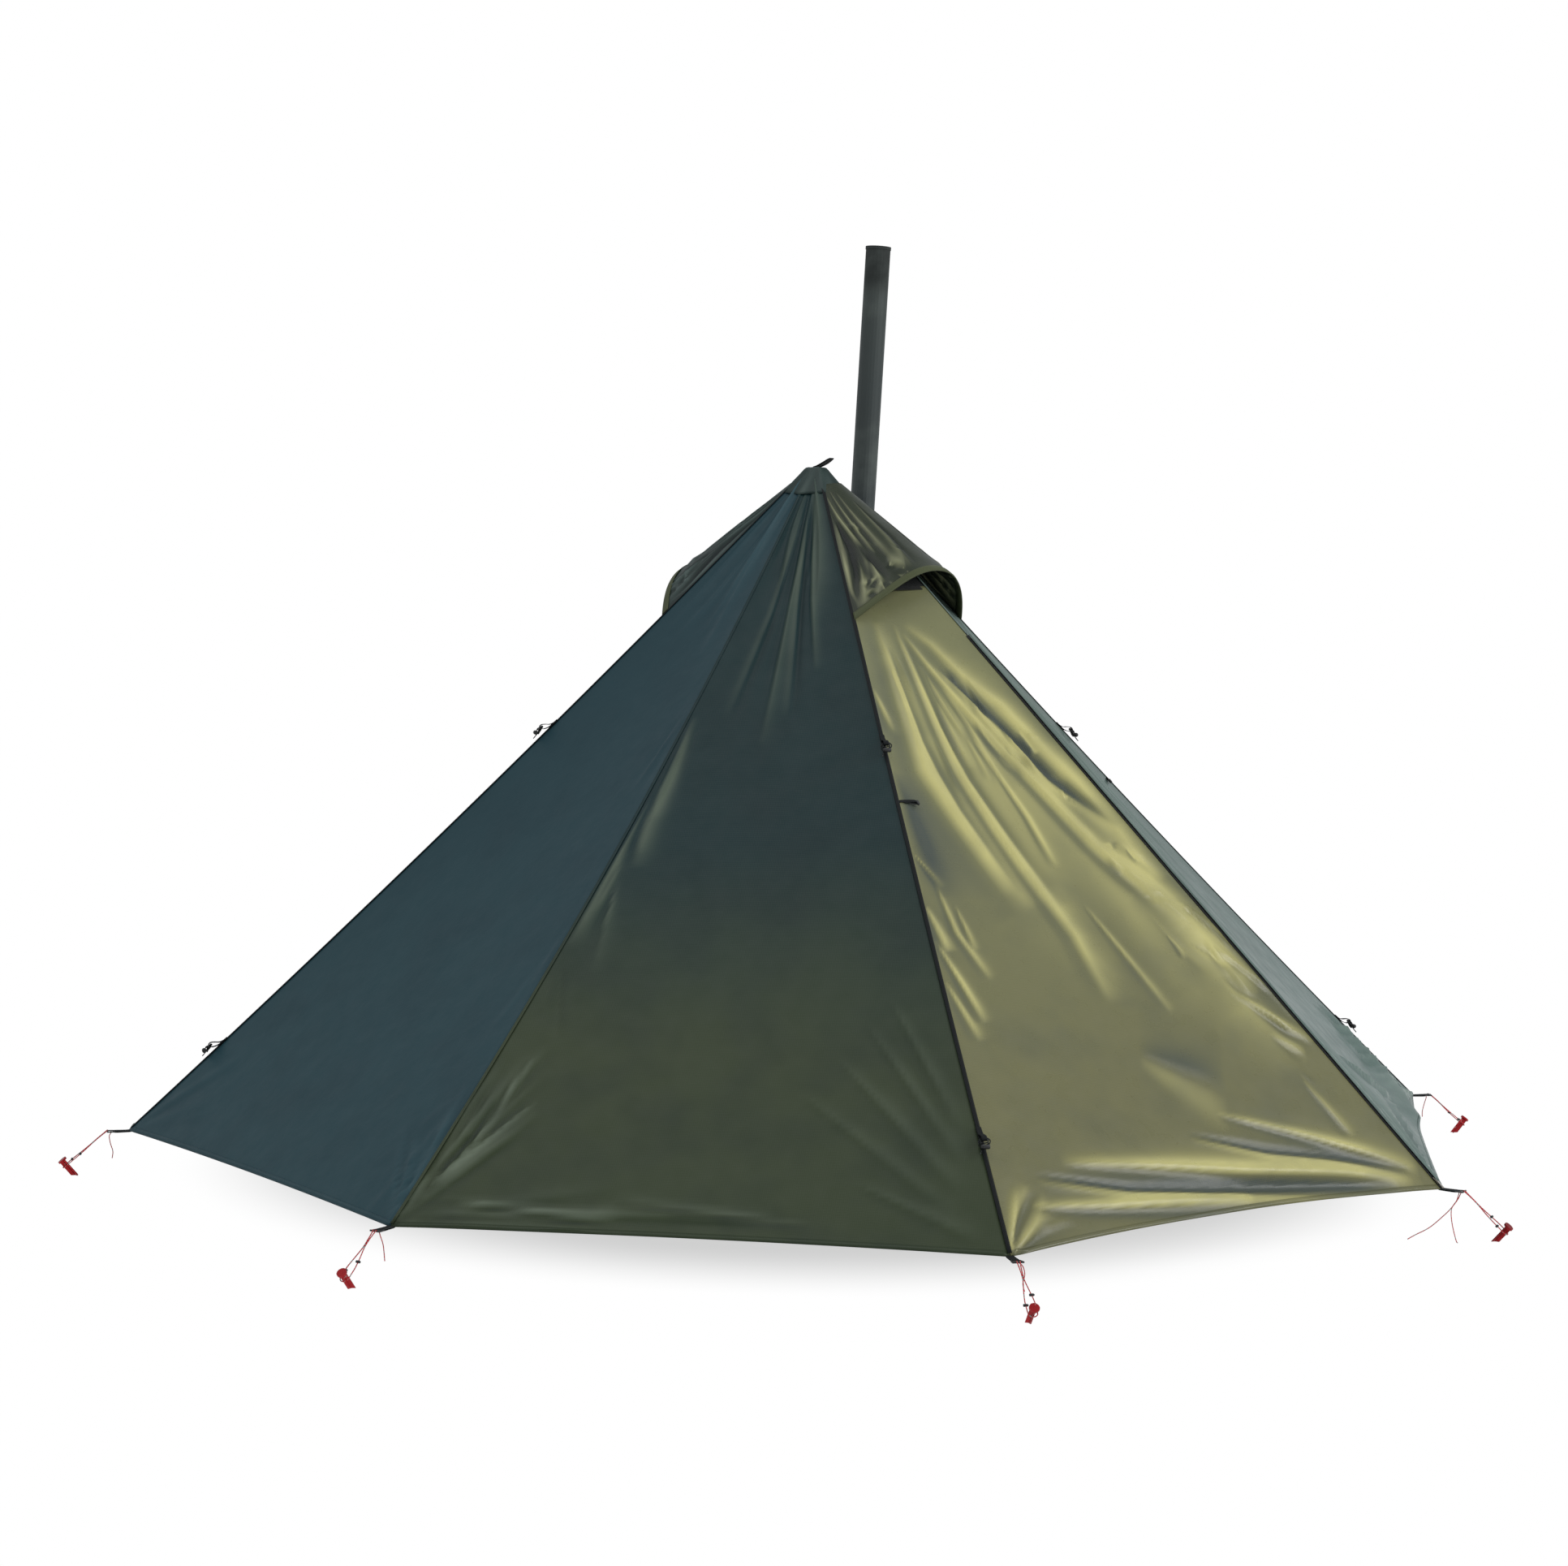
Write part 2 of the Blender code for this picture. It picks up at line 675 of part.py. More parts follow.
def hood_point(across, down, offset=0.0):
    """A point on the left half of the front hood, from the ridge seam to its own fold line at x = 0."""
    share = HOOD_TOP_SHARE + (HOOD_END_SHARE - HOOD_TOP_SHARE) * down
    lift = CLOTH + SEAT + offset
    edge, _ = between(seam_point(FRONT_LEFT, share), seam_point(FRONT, share), 0, SEAM_INSET, 0)
    edge = edge + DOOR_NORMAL * lift
    start = seam_point(FRONT, HOOD_TOP_SHARE)
    start.z += lift * STEEPNESS
    tip = Vector((0, -HOOD_REACH, TENT_HEIGHT - HOOD_DROP + offset))
    ridge = start.lerp(tip, down)
    out = (edge - ridge).x
    low = edge.lerp(ridge, HOOD_CROWN_SHARE) + DOOR_NORMAL * HOOD_SIDE_LIFT * down
    high = ridge + Vector((out * HOOD_CROWN_SHARE, 0, 0))
    u, w = across, 1 - across
    return edge * w**3 + low * 3 * w * w * u + high * 3 * w * u * u + ridge * u**3


def hoods(cloth, binding):
    """A hood over each vent, and the stiffened binding of its brim."""
    rows = [[hood_point(u, v) for u in shares(HOOD_ACROSS)] for v in shares(HOOD_DOWN)]
    hood = place("hood_front", mesh_of("hood", lambda work: loft(work, rows)), cloth)
    smooth(hood.data)
    mirrored(hood)
    thicken(hood, CLOTH)
    reach = math.hypot(HOOD_REACH, HOOD_DROP)
    lift = (CLOTH + BRIM_TAPE) / 2 + SEAT
    downs = (1 - BRIM_WIDTH / reach, 1.0)
    rows = [[hood_point(u, v) + brim_lift(u, v, lift) for u in shares(HOOD_ACROSS)] for v in downs]
    for row in rows:
        row[-1].x = 0
    brim = place("hood_brim_front", mesh_of("hood_brim", lambda work: loft(work, rows)), binding)
    mirrored(brim)
    thicken(brim, BRIM_TAPE)
    turned_copy(hood, "hood_back", math.pi)
    turned_copy(brim, "hood_brim_back", math.pi)


def brim_lift(across, down, lift):
    """The step outwards, square to the hood, that puts the binding on it."""
    step = FLAP_TOP_SHARE
    u, v = min(across, 1 - step), min(down, 1 - step)
    along = hood_point(u + step, v) - hood_point(u, v)
    below = hood_point(u, v + step) - hood_point(u, v)
    square = below.cross(along).normalized()
    return square * lift if square.z > 0 else -square * lift


def crown(cloth, webbing):
    """The rounded crown over the gores' ends, and the hang loop on it."""
    lift = (CLOTH + SEAT * 2) * STEEPNESS + SEAT

    def ring(down):
        sunk = CROWN_ROUND * max(0.0, 1 - down / CROWN_ROUND_SHARE) ** 2
        points = []
        for corner in range(GORES):
            first, second = seam_point(corner, down), seam_point(corner + 1, down)
            points += [first, (first + second) / 2]
        for point in points:
            point.z += lift - sunk
        return points

    def build(work):
        rings = [ring(v) for v in shares(4, CROWN_SHARE / 5, CROWN_SHARE)]
        loft(work, [points + points[:1] for points in rings])
        bmesh.ops.remove_doubles(work, verts=work.verts, dist=WELD)
        middle = work.verts.new(ring(0.0)[0])
        inner = [edge for edge in work.edges if edge.is_boundary]
        for edge in inner:
            if all((vert.co.z > TENT_HEIGHT - CROWN_ROUND * 2) for vert in edge.verts):
                work.faces.new((*edge.verts, middle))

    cap = place("crown_patch", mesh_of("crown_patch", build), cloth)
    smooth(cap.data)
    thicken(cap, CLOTH)
    top = TENT_HEIGHT + lift - CROWN_ROUND + CLOTH / 2
    steps = shares(SMALL_ROUND)

    def teardrop(length, height, start):
        points = []
        for share in steps[:-1]:
            angle = math.tau * share
            reach = (1 - math.cos(angle)) / 2
            points.append((start + length * reach, height / 2 * math.sin(angle) * math.sqrt(reach + WELD)))
        return points

    outlines = [
        teardrop(LOOP_LENGTH, LOOP_HEIGHT, 0),
        teardrop(LOOP_LENGTH - LOOP_STRAP * 5, LOOP_HEIGHT - LOOP_STRAP * 2, LOOP_STRAP * 4),
    ]
    loop = flat_shape("hang_loop", outlines, LOOP_WIDTH, webbing)
    turn = Matrix.Rotation(LOOP_BEARING, 4, "Z") @ Matrix.Rotation(-LOOP_TILT, 4, "Y")
    stand = Matrix.Rotation(math.pi / 2, 4, "X")
    loop.matrix_world = Matrix.Translation((0, 0, top + SEAT * 2)) @ turn @ stand
    return top


def corner_frame(corner):
    """The pegged corner: X outwards, level, through the tab's middle."""
    slope = math.atan2(SEAM_FALL, TENT_RADIUS)
    reach = TENT_RADIUS - CLOTH / 2 * math.sin(slope)
    height = HEM_HEIGHT - CLOTH / 2 * math.cos(slope) - TAB_SEAT - TAB_THICKNESS / 2
    return Matrix.Rotation(corner_angle(corner), 4, "Z") @ Matrix.Translation((reach, 0, height))


def rectangle(x0, x1, y0, y1):
    return [(x0, y0), (x1, y0), (x1, y1), (x0, y1)]


def corners(webbing, cord, red):
    """At each corner a tab with its ladder-lock buckle, a cord loop, and the peg's head."""
    start, end = TAB_LENGTH, TAB_LENGTH + BUCKLE_LENGTH
    tab, wide = TAB_WIDTH / 2, BUCKLE_WIDTH / 2
    outline = [
        (-TAB_LAP, -tab), (start, -tab), (start, -wide), (end, -wide),
        (end, wide), (start, wide), (start, tab), (-TAB_LAP, tab),
    ]
    slot = (BUCKLE_LENGTH - 3 * BUCKLE_BAR) / 2
    slots = []
    for step in range(2):
        near = start + BUCKLE_BAR + step * (slot + BUCKLE_BAR)
        slots.append(rectangle(near, near + slot, BUCKLE_BAR - wide, wide - BUCKLE_BAR))
    for corner, name in enumerate(CORNERS):
        frame = corner_frame(corner)
        buckle = flat_shape(f"corner_buckle_{name}", [outline, *slots], TAB_THICKNESS, webbing)
        buckle.matrix_world = frame
        sloping = frame @ Matrix.Translation((end, 0, 0)) @ Matrix.Rotation(CORD_FALL, 4, "Y")
        out = [Vector((SEAT + x, y, z)) for x, y, z in CORD_ROUTE]
        round_peg = []
        for share in shares(6)[1:-1]:
            angle = math.pi / 2 - math.pi * share
            round_peg.append(Vector((CORD_REACH + CORD_ROUND * math.cos(angle), CORD_ROUND * math.sin(angle), SEAT)))
        back = [Vector((p.x, -p.y, p.z)) for p in reversed(out)]
        loop = tube(f"peg_cord_{name}", out + round_peg + back, CORD / 2, cord)
        loop.matrix_world = sloping
        peg(name, sloping @ Vector((CORD_REACH, 0, 0)), red)


def peg(name, held, red):
    """What stands out of the ground of a three-armed peg, leaning away from the tent."""
    points = []
    for arm in range(3):
        angle = arm * math.tau / 3
        along, side = Vector((math.cos(angle), math.sin(angle))), Vector((-math.sin(angle), math.cos(angle)))
        for reach, edge in ((PEG_ARM, -1), (PEG_ARM, 1)):
            points.append(along * reach + side * edge * PEG_THICKNESS / 2)
        points.append(Matrix.Rotation(math.tau / 6, 2) @ along * PEG_THICKNESS / math.sqrt(3))
    shaft = as_mesh(flat_shape(f"peg_{name}", [points], PEG_HEIGHT * 2, red))
    outwards = Vector((held.x, held.y, 0)).normalized()
    foot = held - outwards * held.z * math.tan(PEG_LEAN)
    foot.z = 0
    turn = Matrix.Rotation(math.atan2(foot.y, foot.x), 4, "Z") @ Matrix.Rotation(PEG_LEAN, 4, "Y")
    shaft.matrix_world = Matrix.Translation(foot) @ turn
    ground = block(
        f"ground_{name}", (-PEG_HEIGHT, -PEG_HEIGHT, -PEG_HEIGHT * 3), (PEG_HEIGHT, PEG_HEIGHT, 0), cutter=True
    )
    ground.matrix_world = Matrix.Translation(foot)
    head = rod(
        f"peg_head_{name}", (0, 0, PEG_HEIGHT - PEG_HEAD), (0, 0, PEG_HEIGHT + PEG_HEAD / 2), PEG_HEAD_REACH,
        cutter=True, sides=SMALL_ROUND,
    )
    head.matrix_world = shaft.matrix_world
    combine(shaft, "UNION", head)
    combine(shaft, "DIFFERENCE", ground)


def pole(alloy, rubber, top):
    """A foot, a lower tube and an upper tube that stands in it and lifts the crown."""
    turned("pole_foot", [(0, FOOT_HEIGHT), (FOOT_RADIUS * 0.7, FOOT_HEIGHT), (FOOT_RADIUS, 0), (0, 0)], rubber)
    inner = POLE_RADIUS - POLE_WALL
    turned(
        "pole_lower",
        [
            (POLE_RADIUS, POLE_JOIN_HEIGHT), (POLE_RADIUS, FOOT_HEIGHT + SEAT),
            (inner, FOOT_HEIGHT + SEAT), (inner, POLE_JOIN_HEIGHT),
        ],
        alloy,
    )
    tip = top - CLOTH - TIP_CLEAR
    start = POLE_JOIN_HEIGHT - POLE_LAP
    turned(
        "pole_upper",
        [
            (0, tip), (UPPER_RADIUS - TIP_CHAMFER, tip - TIP_CHAMFER / 4), (UPPER_RADIUS, tip - TIP_CHAMFER),
            (UPPER_RADIUS, start), (0, start),
        ],
        alloy,
    )


STOVE_TOP = STOVE_FLOOR + STOVE_HEIGHT
FLUE_AXIS_BEARING = PIPE_LEAN_BEARING + math.pi / 2


def stove_frame():
    """On the ground under the flue's foot, X away from the pole."""
    return Matrix.Rotation(STOVE_BEARING, 4, "Z") @ Matrix.Translation((STOVE_REACH, 0, 0))


def flue_frame():
    """On the stove's top: Z up the leaning pipe, X level along the damper's spindle."""
    foot = stove_frame() @ Vector((0, 0, STOVE_TOP))
    axis = Vector((math.cos(FLUE_AXIS_BEARING), math.sin(FLUE_AXIS_BEARING), 0))
    lean = Matrix.Rotation(PIPE_LEAN, 4, axis)
    return Matrix.Translation(foot) @ lean @ Matrix.Rotation(FLUE_AXIS_BEARING, 4, "Z")


def stove(iron, steel, frame, flue):
    """Firebox with flue collar and lugs, fire door with latch and air shutter, and two folding leg frames."""
    half = STOVE_WIDTH / 2
    box = block("stove_firebox", (-STOVE_FRONT, -half, STOVE_FLOOR), (STOVE_BACK, half, STOVE_TOP), iron)
    box.matrix_world = frame
    helpers = []

    def helper(thing, matrix=frame):
        thing.matrix_world = matrix
        helpers.append(thing)
        return thing

    cavity = helper(block(
        "firebox_cavity", (-STOVE_FRONT + STEEL, -half + STEEL, STOVE_FLOOR + STEEL),
        (STOVE_BACK - STEEL, half - STEEL, STOVE_TOP - STEEL), cutter=True,
    ))
    sill = STOVE_FLOOR + DOOR_HOLE_SILL
    lintel = sill + DOOR_HOLE_HEIGHT
    mouth = DOOR_HOLE_WIDTH / 2
    doorway = helper(block(
        "firebox_mouth", (-STOVE_FRONT - CUT_OVERRUN, -mouth, sill), (-STOVE_FRONT + CUT_OVERRUN, mouth, lintel),
        cutter=True,
    ))
    combine(box, "DIFFERENCE", cavity, doorway)
    outer = PIPE_RADIUS - PIPE_WALL - COLLAR_CLEAR
    collar = helper(
        rod("flue_collar", (0, 0, -STEEL), (0, 0, COLLAR_HEIGHT), outer, cutter=True), flue
    )
    bore = helper(
        rod("flue_bore", (0, 0, -CUT_OVERRUN), (0, 0, COLLAR_HEIGHT * 2), outer - COLLAR_WALL, cutter=True), flue
    )
    combine(box, "UNION", collar)
    combine(box, "DIFFERENCE", bore)

    plate_back = -STOVE_FRONT - DOOR_SEAT
    plate_front = plate_back - DOOR_PLATE
    hinge = Vector((plate_front - KNUCKLE_RADIUS / 2, mouth + DOOR_LAP + KNUCKLE_RADIUS, (sill + lintel) / 2))
    lugs = []
    for name, sign in (("upper", 1), ("lower", -1)):
        near = KNUCKLE_LENGTH / 2 + SEAT
        heights = sorted((hinge.z + sign * near, hinge.z + sign * (near + LUG_HEIGHT)))
        lugs.append(helper(block(
            f"hinge_lug_{name}", (hinge.x, hinge.y - PIN_RADIUS / 2, heights[0]),
            (-STOVE_FRONT + STEEL / 2, hinge.y + KNUCKLE_RADIUS, heights[1]), cutter=True,
        )))
        lugs.append(helper(rod(
            f"hinge_eye_{name}", (hinge.x, hinge.y, heights[0]), (hinge.x, hinge.y, heights[1]), KNUCKLE_RADIUS,
            cutter=True, sides=SMALL_ROUND,
        )))
    reach = KNUCKLE_LENGTH / 2 + LUG_HEIGHT
    pin = helper(rod(
        "hinge_pin", hinge - Vector((0, 0, reach)), hinge + Vector((0, 0, reach)), PIN_RADIUS, cutter=True,
        sides=SMALL_ROUND,
    ))
    combine(box, "UNION", *lugs, pin)
    leg_frames(box, steel, frame, helper)
    fire_door(iron, steel, frame, hinge, sill, lintel, mouth, plate_back, plate_front)
    return box


def leg_frames(box, steel, frame, helper):
    """Two wire frames that stand splayed on the ground and fold up under the firebox."""
    half = STOVE_WIDTH / 2
    for step, (name, x, sign) in enumerate((
        ("front", -STOVE_FRONT + LEG_INSET, -1), ("back", STOVE_BACK - LEG_INSET, 1),
    )):
        pivot = STOVE_FLOOR - LEG_PIVOT_DROP - step * LEG_PIVOT_STEP
        wide = half - step * LEG_NARROWING
        eye = wide - LEG_EYE
        foot = LEG_RADIUS - pivot
        splay = sign * LEG_SPLAY
        bend = LEG_RADIUS * 1.5
        side = [
            (0, eye, 0), (0, wide - bend, 0), (splay * bend / -foot, wide, -bend),
            (splay * (1 + bend / foot), wide, foot + bend), (splay, wide - bend, foot),
        ]
        route = side + [(x_, -y, z) for x_, y, z in reversed(side)]
        legs = tube(f"stove_legs_{name}", route, LEG_RADIUS, steel)
        legs.matrix_world = frame @ Matrix.Translation((x, 0, pivot))
        for hand in (-1, 1):
            near, far = sorted((hand * (eye + SEAT), hand * (eye + LEG_LUG)))
            lug = helper(block(
                f"leg_lug_{name}_{hand}", (x - LEG_RADIUS * 2, near, pivot - LEG_RADIUS * 2),
                (x + LEG_RADIUS * 2, far, STOVE_FLOOR + STEEL / 2), cutter=True,
            ))
            hole = helper(rod(
                f"leg_hole_{name}_{hand}", (x, near - CUT_OVERRUN, pivot), (x, far + CUT_OVERRUN, pivot),
                LEG_RADIUS + LEG_CLEAR, cutter=True, sides=SMALL_ROUND,
            ))
            combine(box, "UNION", lug)
            combine(box, "DIFFERENCE", hole)


def fire_door(iron, steel, frame, hinge, sill, lintel, mouth, plate_back, plate_front):
    """The door on its hinge, with the latch and the air shutter that it carries."""
    swing = empty("fire_door_hinge", frame @ Matrix.Translation(hinge))
    low, high = sill - DOOR_LAP, lintel + DOOR_LAP
    door = block(
        "stove_door", Vector((plate_front, -mouth - DOOR_LAP, low)) - hinge,
        Vector((plate_back, mouth + DOOR_LAP, high)) - hinge, iron, swing,
    )
    reach = Vector((0, 0, KNUCKLE_LENGTH / 2))
    knuckle = rod("knuckle", -reach, reach, KNUCKLE_RADIUS, parent=swing, cutter=True, sides=SMALL_ROUND)
    leaf = block(
        "hinge_leaf", (plate_front - hinge.x - DOOR_PLATE / 2, mouth - hinge.y, -KNUCKLE_LENGTH / 2),
        (plate_front - hinge.x + DOOR_PLATE / 2, 0, KNUCKLE_LENGTH / 2), parent=swing, cutter=True,
    )
    hole = rod(
        "knuckle_hole", -reach * 2, reach * 2, PIN_RADIUS + PIN_CLEAR, parent=swing, cutter=True, sides=SMALL_ROUND
    )
    air_height = low + DOOR_LAP + SHUTTER_HEIGHT / 2
    air = []
    for step in (-1, 0, 1):
        at = Vector((plate_front, step * AIR_HOLE_PITCH, air_height)) - hinge
        over = Vector((CUT_OVERRUN / 2, 0, 0))
        air.append(rod(
            f"air_hole_{step}", at - over, at + over, AIR_HOLE_RADIUS, parent=swing, cutter=True, sides=SMALL_ROUND
        ))
    latch_at = Vector((plate_front - SEAT, -mouth + LATCH_RADIUS, (sill + lintel) / 2 + LATCH_RADIUS * 2))
    spindle_hole = rod(
        "latch_hole", latch_at - hinge - over, latch_at - hinge + over, LATCH_SPINDLE + PIN_CLEAR, parent=swing,
        cutter=True, sides=SMALL_ROUND,
    )
    rails = []
    span = AIR_HOLE_PITCH * 2 + SHUTTER_WIDTH / 2
    for sign in (-1, 1):
        near = air_height + sign * (SHUTTER_HEIGHT / 2 + SEAT)
        heights = sorted((near, near + sign * RAIL))
        over_shutter = sorted((near - sign * RAIL_HOLD, near + sign * RAIL))
        face = plate_front - SHUTTER_PLATE - SEAT * 2
        rails.append(block(
            f"shutter_rail_{sign}", Vector((face, -span, heights[0])) - hinge,
            Vector((plate_front + DOOR_PLATE / 2, span, heights[1])) - hinge, parent=swing, cutter=True,
        ))
        rails.append(block(
            f"shutter_lip_{sign}", Vector((face - RAIL_LIP, -span, over_shutter[0])) - hinge,
            Vector((face, span, over_shutter[1])) - hinge, parent=swing, cutter=True,
        ))
    combine(door, "UNION", leaf, knuckle, *rails)
    combine(door, "DIFFERENCE", hole, spindle_hole, *air)

    turn = empty("latch_pivot", frame @ Matrix.Translation(latch_at))
    latch = block(
        "stove_latch", (-LATCH_BAR, 0, -LATCH_BAR / 2), (0, LATCH_LENGTH, LATCH_BAR / 2), steel, turn
    )
    behind = SEAT + DOOR_PLATE + DOOR_SEAT + STEEL + CATCH_CLEAR
    boss = rod("latch_boss", (-LATCH_BAR, 0, 0), (0, 0, 0), LATCH_RADIUS, parent=turn, cutter=True, sides=SMALL_ROUND)
    spindle = rod(
        "latch_spindle", (-LATCH_BAR / 2, 0, 0), (behind + CATCH_PLATE, 0, 0), LATCH_SPINDLE, parent=turn,
        cutter=True, sides=SMALL_ROUND,
    )
    catch = block(
        "latch_catch", (behind, -LATCH_SPINDLE, -CATCH_REACH), (behind + CATCH_PLATE, LATCH_SPINDLE, 0),
        parent=turn, cutter=True,
    )
    combine(latch, "UNION", boss, spindle, catch)

    shutter_at = Vector((plate_front - SEAT, 0, air_height)) - hinge
    half_width, half_height = SHUTTER_WIDTH / 2 + AIR_HOLE_PITCH / 2, SHUTTER_HEIGHT / 2
    shutter = block(
        "stove_air_shutter", shutter_at + Vector((-SHUTTER_PLATE, -half_width, -half_height)),
        shutter_at + Vector((0, half_width, half_height)), steel, swing,
    )
    ports = []
    for step in (-1, 0, 1):
        at = shutter_at + Vector((0, step * AIR_HOLE_PITCH, 0))
        ports.append(rod(
            f"shutter_port_{step}", at - over, at + over, AIR_HOLE_RADIUS, parent=swing, cutter=True,
            sides=SMALL_ROUND,
        ))
    at = shutter_at + Vector((-SHUTTER_PLATE / 2, AIR_HOLE_PITCH / 2, 0))
    knob = rod(
        "shutter_knob", at, at - Vector((SHUTTER_KNOB * 2, 0, 0)), SHUTTER_KNOB / 2, parent=swing, cutter=True,
        sides=SMALL_ROUND,
    )
    combine(shutter, "UNION", knob)
    combine(shutter, "DIFFERENCE", *ports)


def pipe(metal, flue):
    """The flue pipe on the stove's collar, with the butterfly damper in it."""
    frame = empty("flue", flue)
    foot = SEAT + PIPE_RADIUS * math.sin(PIPE_LEAN) + PIPE_RIM * math.sin(PIPE_LEAN)
    length = (PIPE_TOP - STOVE_TOP) / math.cos(PIPE_LEAN)
    inner = PIPE_RADIUS - PIPE_WALL
    rim = PIPE_RADIUS + PIPE_RIM
    stack = turned(
        "stove_pipe",
        [
            (rim, length), (rim, length - PIPE_RIM_HEIGHT), (PIPE_RADIUS, length - PIPE_RIM_HEIGHT),
            (PIPE_RADIUS, foot), (inner, foot), (inner, length),
        ],
        metal, frame,
    )
    hole = rod(
        "spindle_hole", (-PIPE_RADIUS * 2, 0, DAMPER_HEIGHT), (PIPE_RADIUS * 2, 0, DAMPER_HEIGHT),
        SPINDLE_RADIUS + SPINDLE_CLEAR, parent=frame, cutter=True, sides=SMALL_ROUND,
    )
    combine(stack, "DIFFERENCE", hole)
    pivot = empty("damper_pivot", flue @ Matrix.Translation((0, 0, DAMPER_HEIGHT)))
    disc = rod(
        "flue_damper", (0, -DAMPER_PLATE / 2, 0), (0, DAMPER_PLATE / 2, 0), inner - DAMPER_CLEAR, metal, pivot
    )
    end = PIPE_RADIUS + SPINDLE_REACH
    spindle = rod(
        "damper_spindle", (-PIPE_RADIUS - SPINDLE_RADIUS * 2, 0, 0), (end, 0, 0), SPINDLE_RADIUS, parent=pivot,
        cutter=True, sides=SMALL_ROUND,
    )
    ring = []
    for share in shares(SMALL_ROUND)[:-1]:
        angle = math.tau * share
        ring.append((end + HANDLE_RADIUS * (1 - math.cos(angle)) - HANDLE_WIRE, 0, HANDLE_RADIUS * math.sin(angle)))
    handle = as_mesh(tube("damper_handle", ring, HANDLE_WIRE, None, pivot, closed=True))
    CUTTERS.objects.link(handle)
    TENT.objects.unlink(handle)
    handle.hide_render = True
    handle.display_type = "WIRE"
    combine(disc, "UNION", spindle, handle)
    return length


def jack_place(flue):
    """How far across and down its gore the pipe's axis goes through the cloth."""
    axis = flue.to_3x3() @ Vector((0, 0, 1))
    foot = flue.translation
    low, high = PEAK_SHARE, 1.0
    across = 0.5
    for _ in range(ROUND * 2):
        down = (low + high) / 2
        height = gore_point(JACK_GORE, across, down).z
        at = foot + axis * ((height - foot.z) / axis.z)
        left, right = seam_point(JACK_GORE, down), seam_point(JACK_GORE + 1, down)
        line = right - left
        across = (at - left).dot(line) / line.length_squared
        depth = (at - gore_point(JACK_GORE, across, down)).dot(gore_normal(JACK_GORE))
        if depth > 0:
            low = down
        else:
            high = down
    return across, (low + high) / 2, at


def jack(panel, flue, patch_cloth):
    """The hole in the gore, and the heat-proof patch over it that fits round the pipe."""
    across, down, at = jack_place(flue)
    axis = flue.to_3x3() @ Vector((0, 0, 1))
    over = axis * (JACK_HOLE_RADIUS + CUT_OVERRUN)
    hole = rod("jack_hole", at - over, at + over, JACK_HOLE_RADIUS, cutter=True)
    combine(panel, "DIFFERENCE", hole)
    width = (seam_point(JACK_GORE + 1, down) - seam_point(JACK_GORE, down)).length
    u_half, v_half = JACK_WIDTH / 2 / width, JACK_LENGTH / 2 / SEAM_LENGTH
    lift = (CLOTH + JACK_CLOTH) / 2 + JACK_SEAT
    rows = [
        [panel_point(JACK_GORE, u, v, lift) for u in cuts(across - u_half, across + u_half, shares(ACROSS))]
        for v in cuts(down - v_half, down + v_half, shares(DOWN, PEAK_SHARE))
    ]
    patch = sheet("stove_jack", rows, JACK_CLOTH, patch_cloth)
    fit = rod("jack_fit", at - over, at + over, PIPE_RADIUS + JACK_CLEAR, cutter=True, sides=ROUND * 2)
    combine(patch, "DIFFERENCE", fit)


def build():
    cloth = finish("tent_cloth", (0.035, 0.055, 0.05), 0.38)
    door_cloth = finish("door_cloth", (0.19, 0.18, 0.09), 0.38)
    hood_cloth = finish("hood_cloth", (0.05, 0.055, 0.035), 0.42)
    binding = finish("brim_binding", (0.11, 0.12, 0.08), 0.6)
    net = finish("vent_net", (0.01, 0.01, 0.01), 0.9)
    webbing = finish("black_webbing", (0.012, 0.012, 0.012), 0.7)
    cord = finish("two_tone_cord", (0.42, 0.09, 0.09), 0.8)
    red = finish("red_anodised", (0.45, 0.02, 0.02), 0.35, 0.8)
    alloy = finish("pole_alloy", (0.55, 0.56, 0.58), 0.35, 1.0)
    rubber = finish("black_rubber", (0.015, 0.015, 0.015), 0.8)
    zip_black = finish("zip_black", (0.01, 0.01, 0.012), 0.5)
    iron = finish("stove_black", (0.025, 0.025, 0.027), 0.6, 0.6)
    steel = finish("stove_steel", (0.5, 0.5, 0.5), 0.3, 1.0)
    flue_metal = finish("flue_steel", (0.06, 0.065, 0.068), 0.45, 0.7)
    patch = finish("jack_patch", (0.25, 0.26, 0.26), 0.7)

    panels = side_panels(cloth)
    door_heads(door_cloth)
    vent_nets(net)
    doors(door_cloth, zip_black, zip_black)
    hoods(hood_cloth, binding)
    top = crown(cloth, webbing)
    corners(webbing, cord, red)
    pole(alloy, rubber, top)
    frame, flue = stove_frame(), flue_frame()
    stove(iron, steel, frame, flue)
    pipe(flue_metal, flue)
    jack(panels[JACK_GORE], flue, patch)


build()
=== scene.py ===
"""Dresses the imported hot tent: its cloth, tapes, cords and metal, on a pale studio floor."""

import logging
import math
import random
from dataclasses import dataclass
from enum import Enum
from typing import Any, Callable, Iterable, Sequence

import bmesh
import bpy
import numpy as np
from mathutils import Matrix, Vector


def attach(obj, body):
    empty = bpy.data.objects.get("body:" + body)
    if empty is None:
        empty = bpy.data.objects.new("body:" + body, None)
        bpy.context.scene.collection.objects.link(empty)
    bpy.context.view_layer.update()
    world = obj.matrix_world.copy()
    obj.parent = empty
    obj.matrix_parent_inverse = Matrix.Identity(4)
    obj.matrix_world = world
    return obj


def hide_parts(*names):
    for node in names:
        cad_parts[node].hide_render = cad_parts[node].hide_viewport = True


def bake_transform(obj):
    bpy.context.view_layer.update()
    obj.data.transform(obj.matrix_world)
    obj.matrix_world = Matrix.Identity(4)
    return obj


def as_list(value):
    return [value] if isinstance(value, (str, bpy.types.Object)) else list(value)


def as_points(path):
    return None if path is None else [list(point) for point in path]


LOG = logging.getLogger("hot_tent")
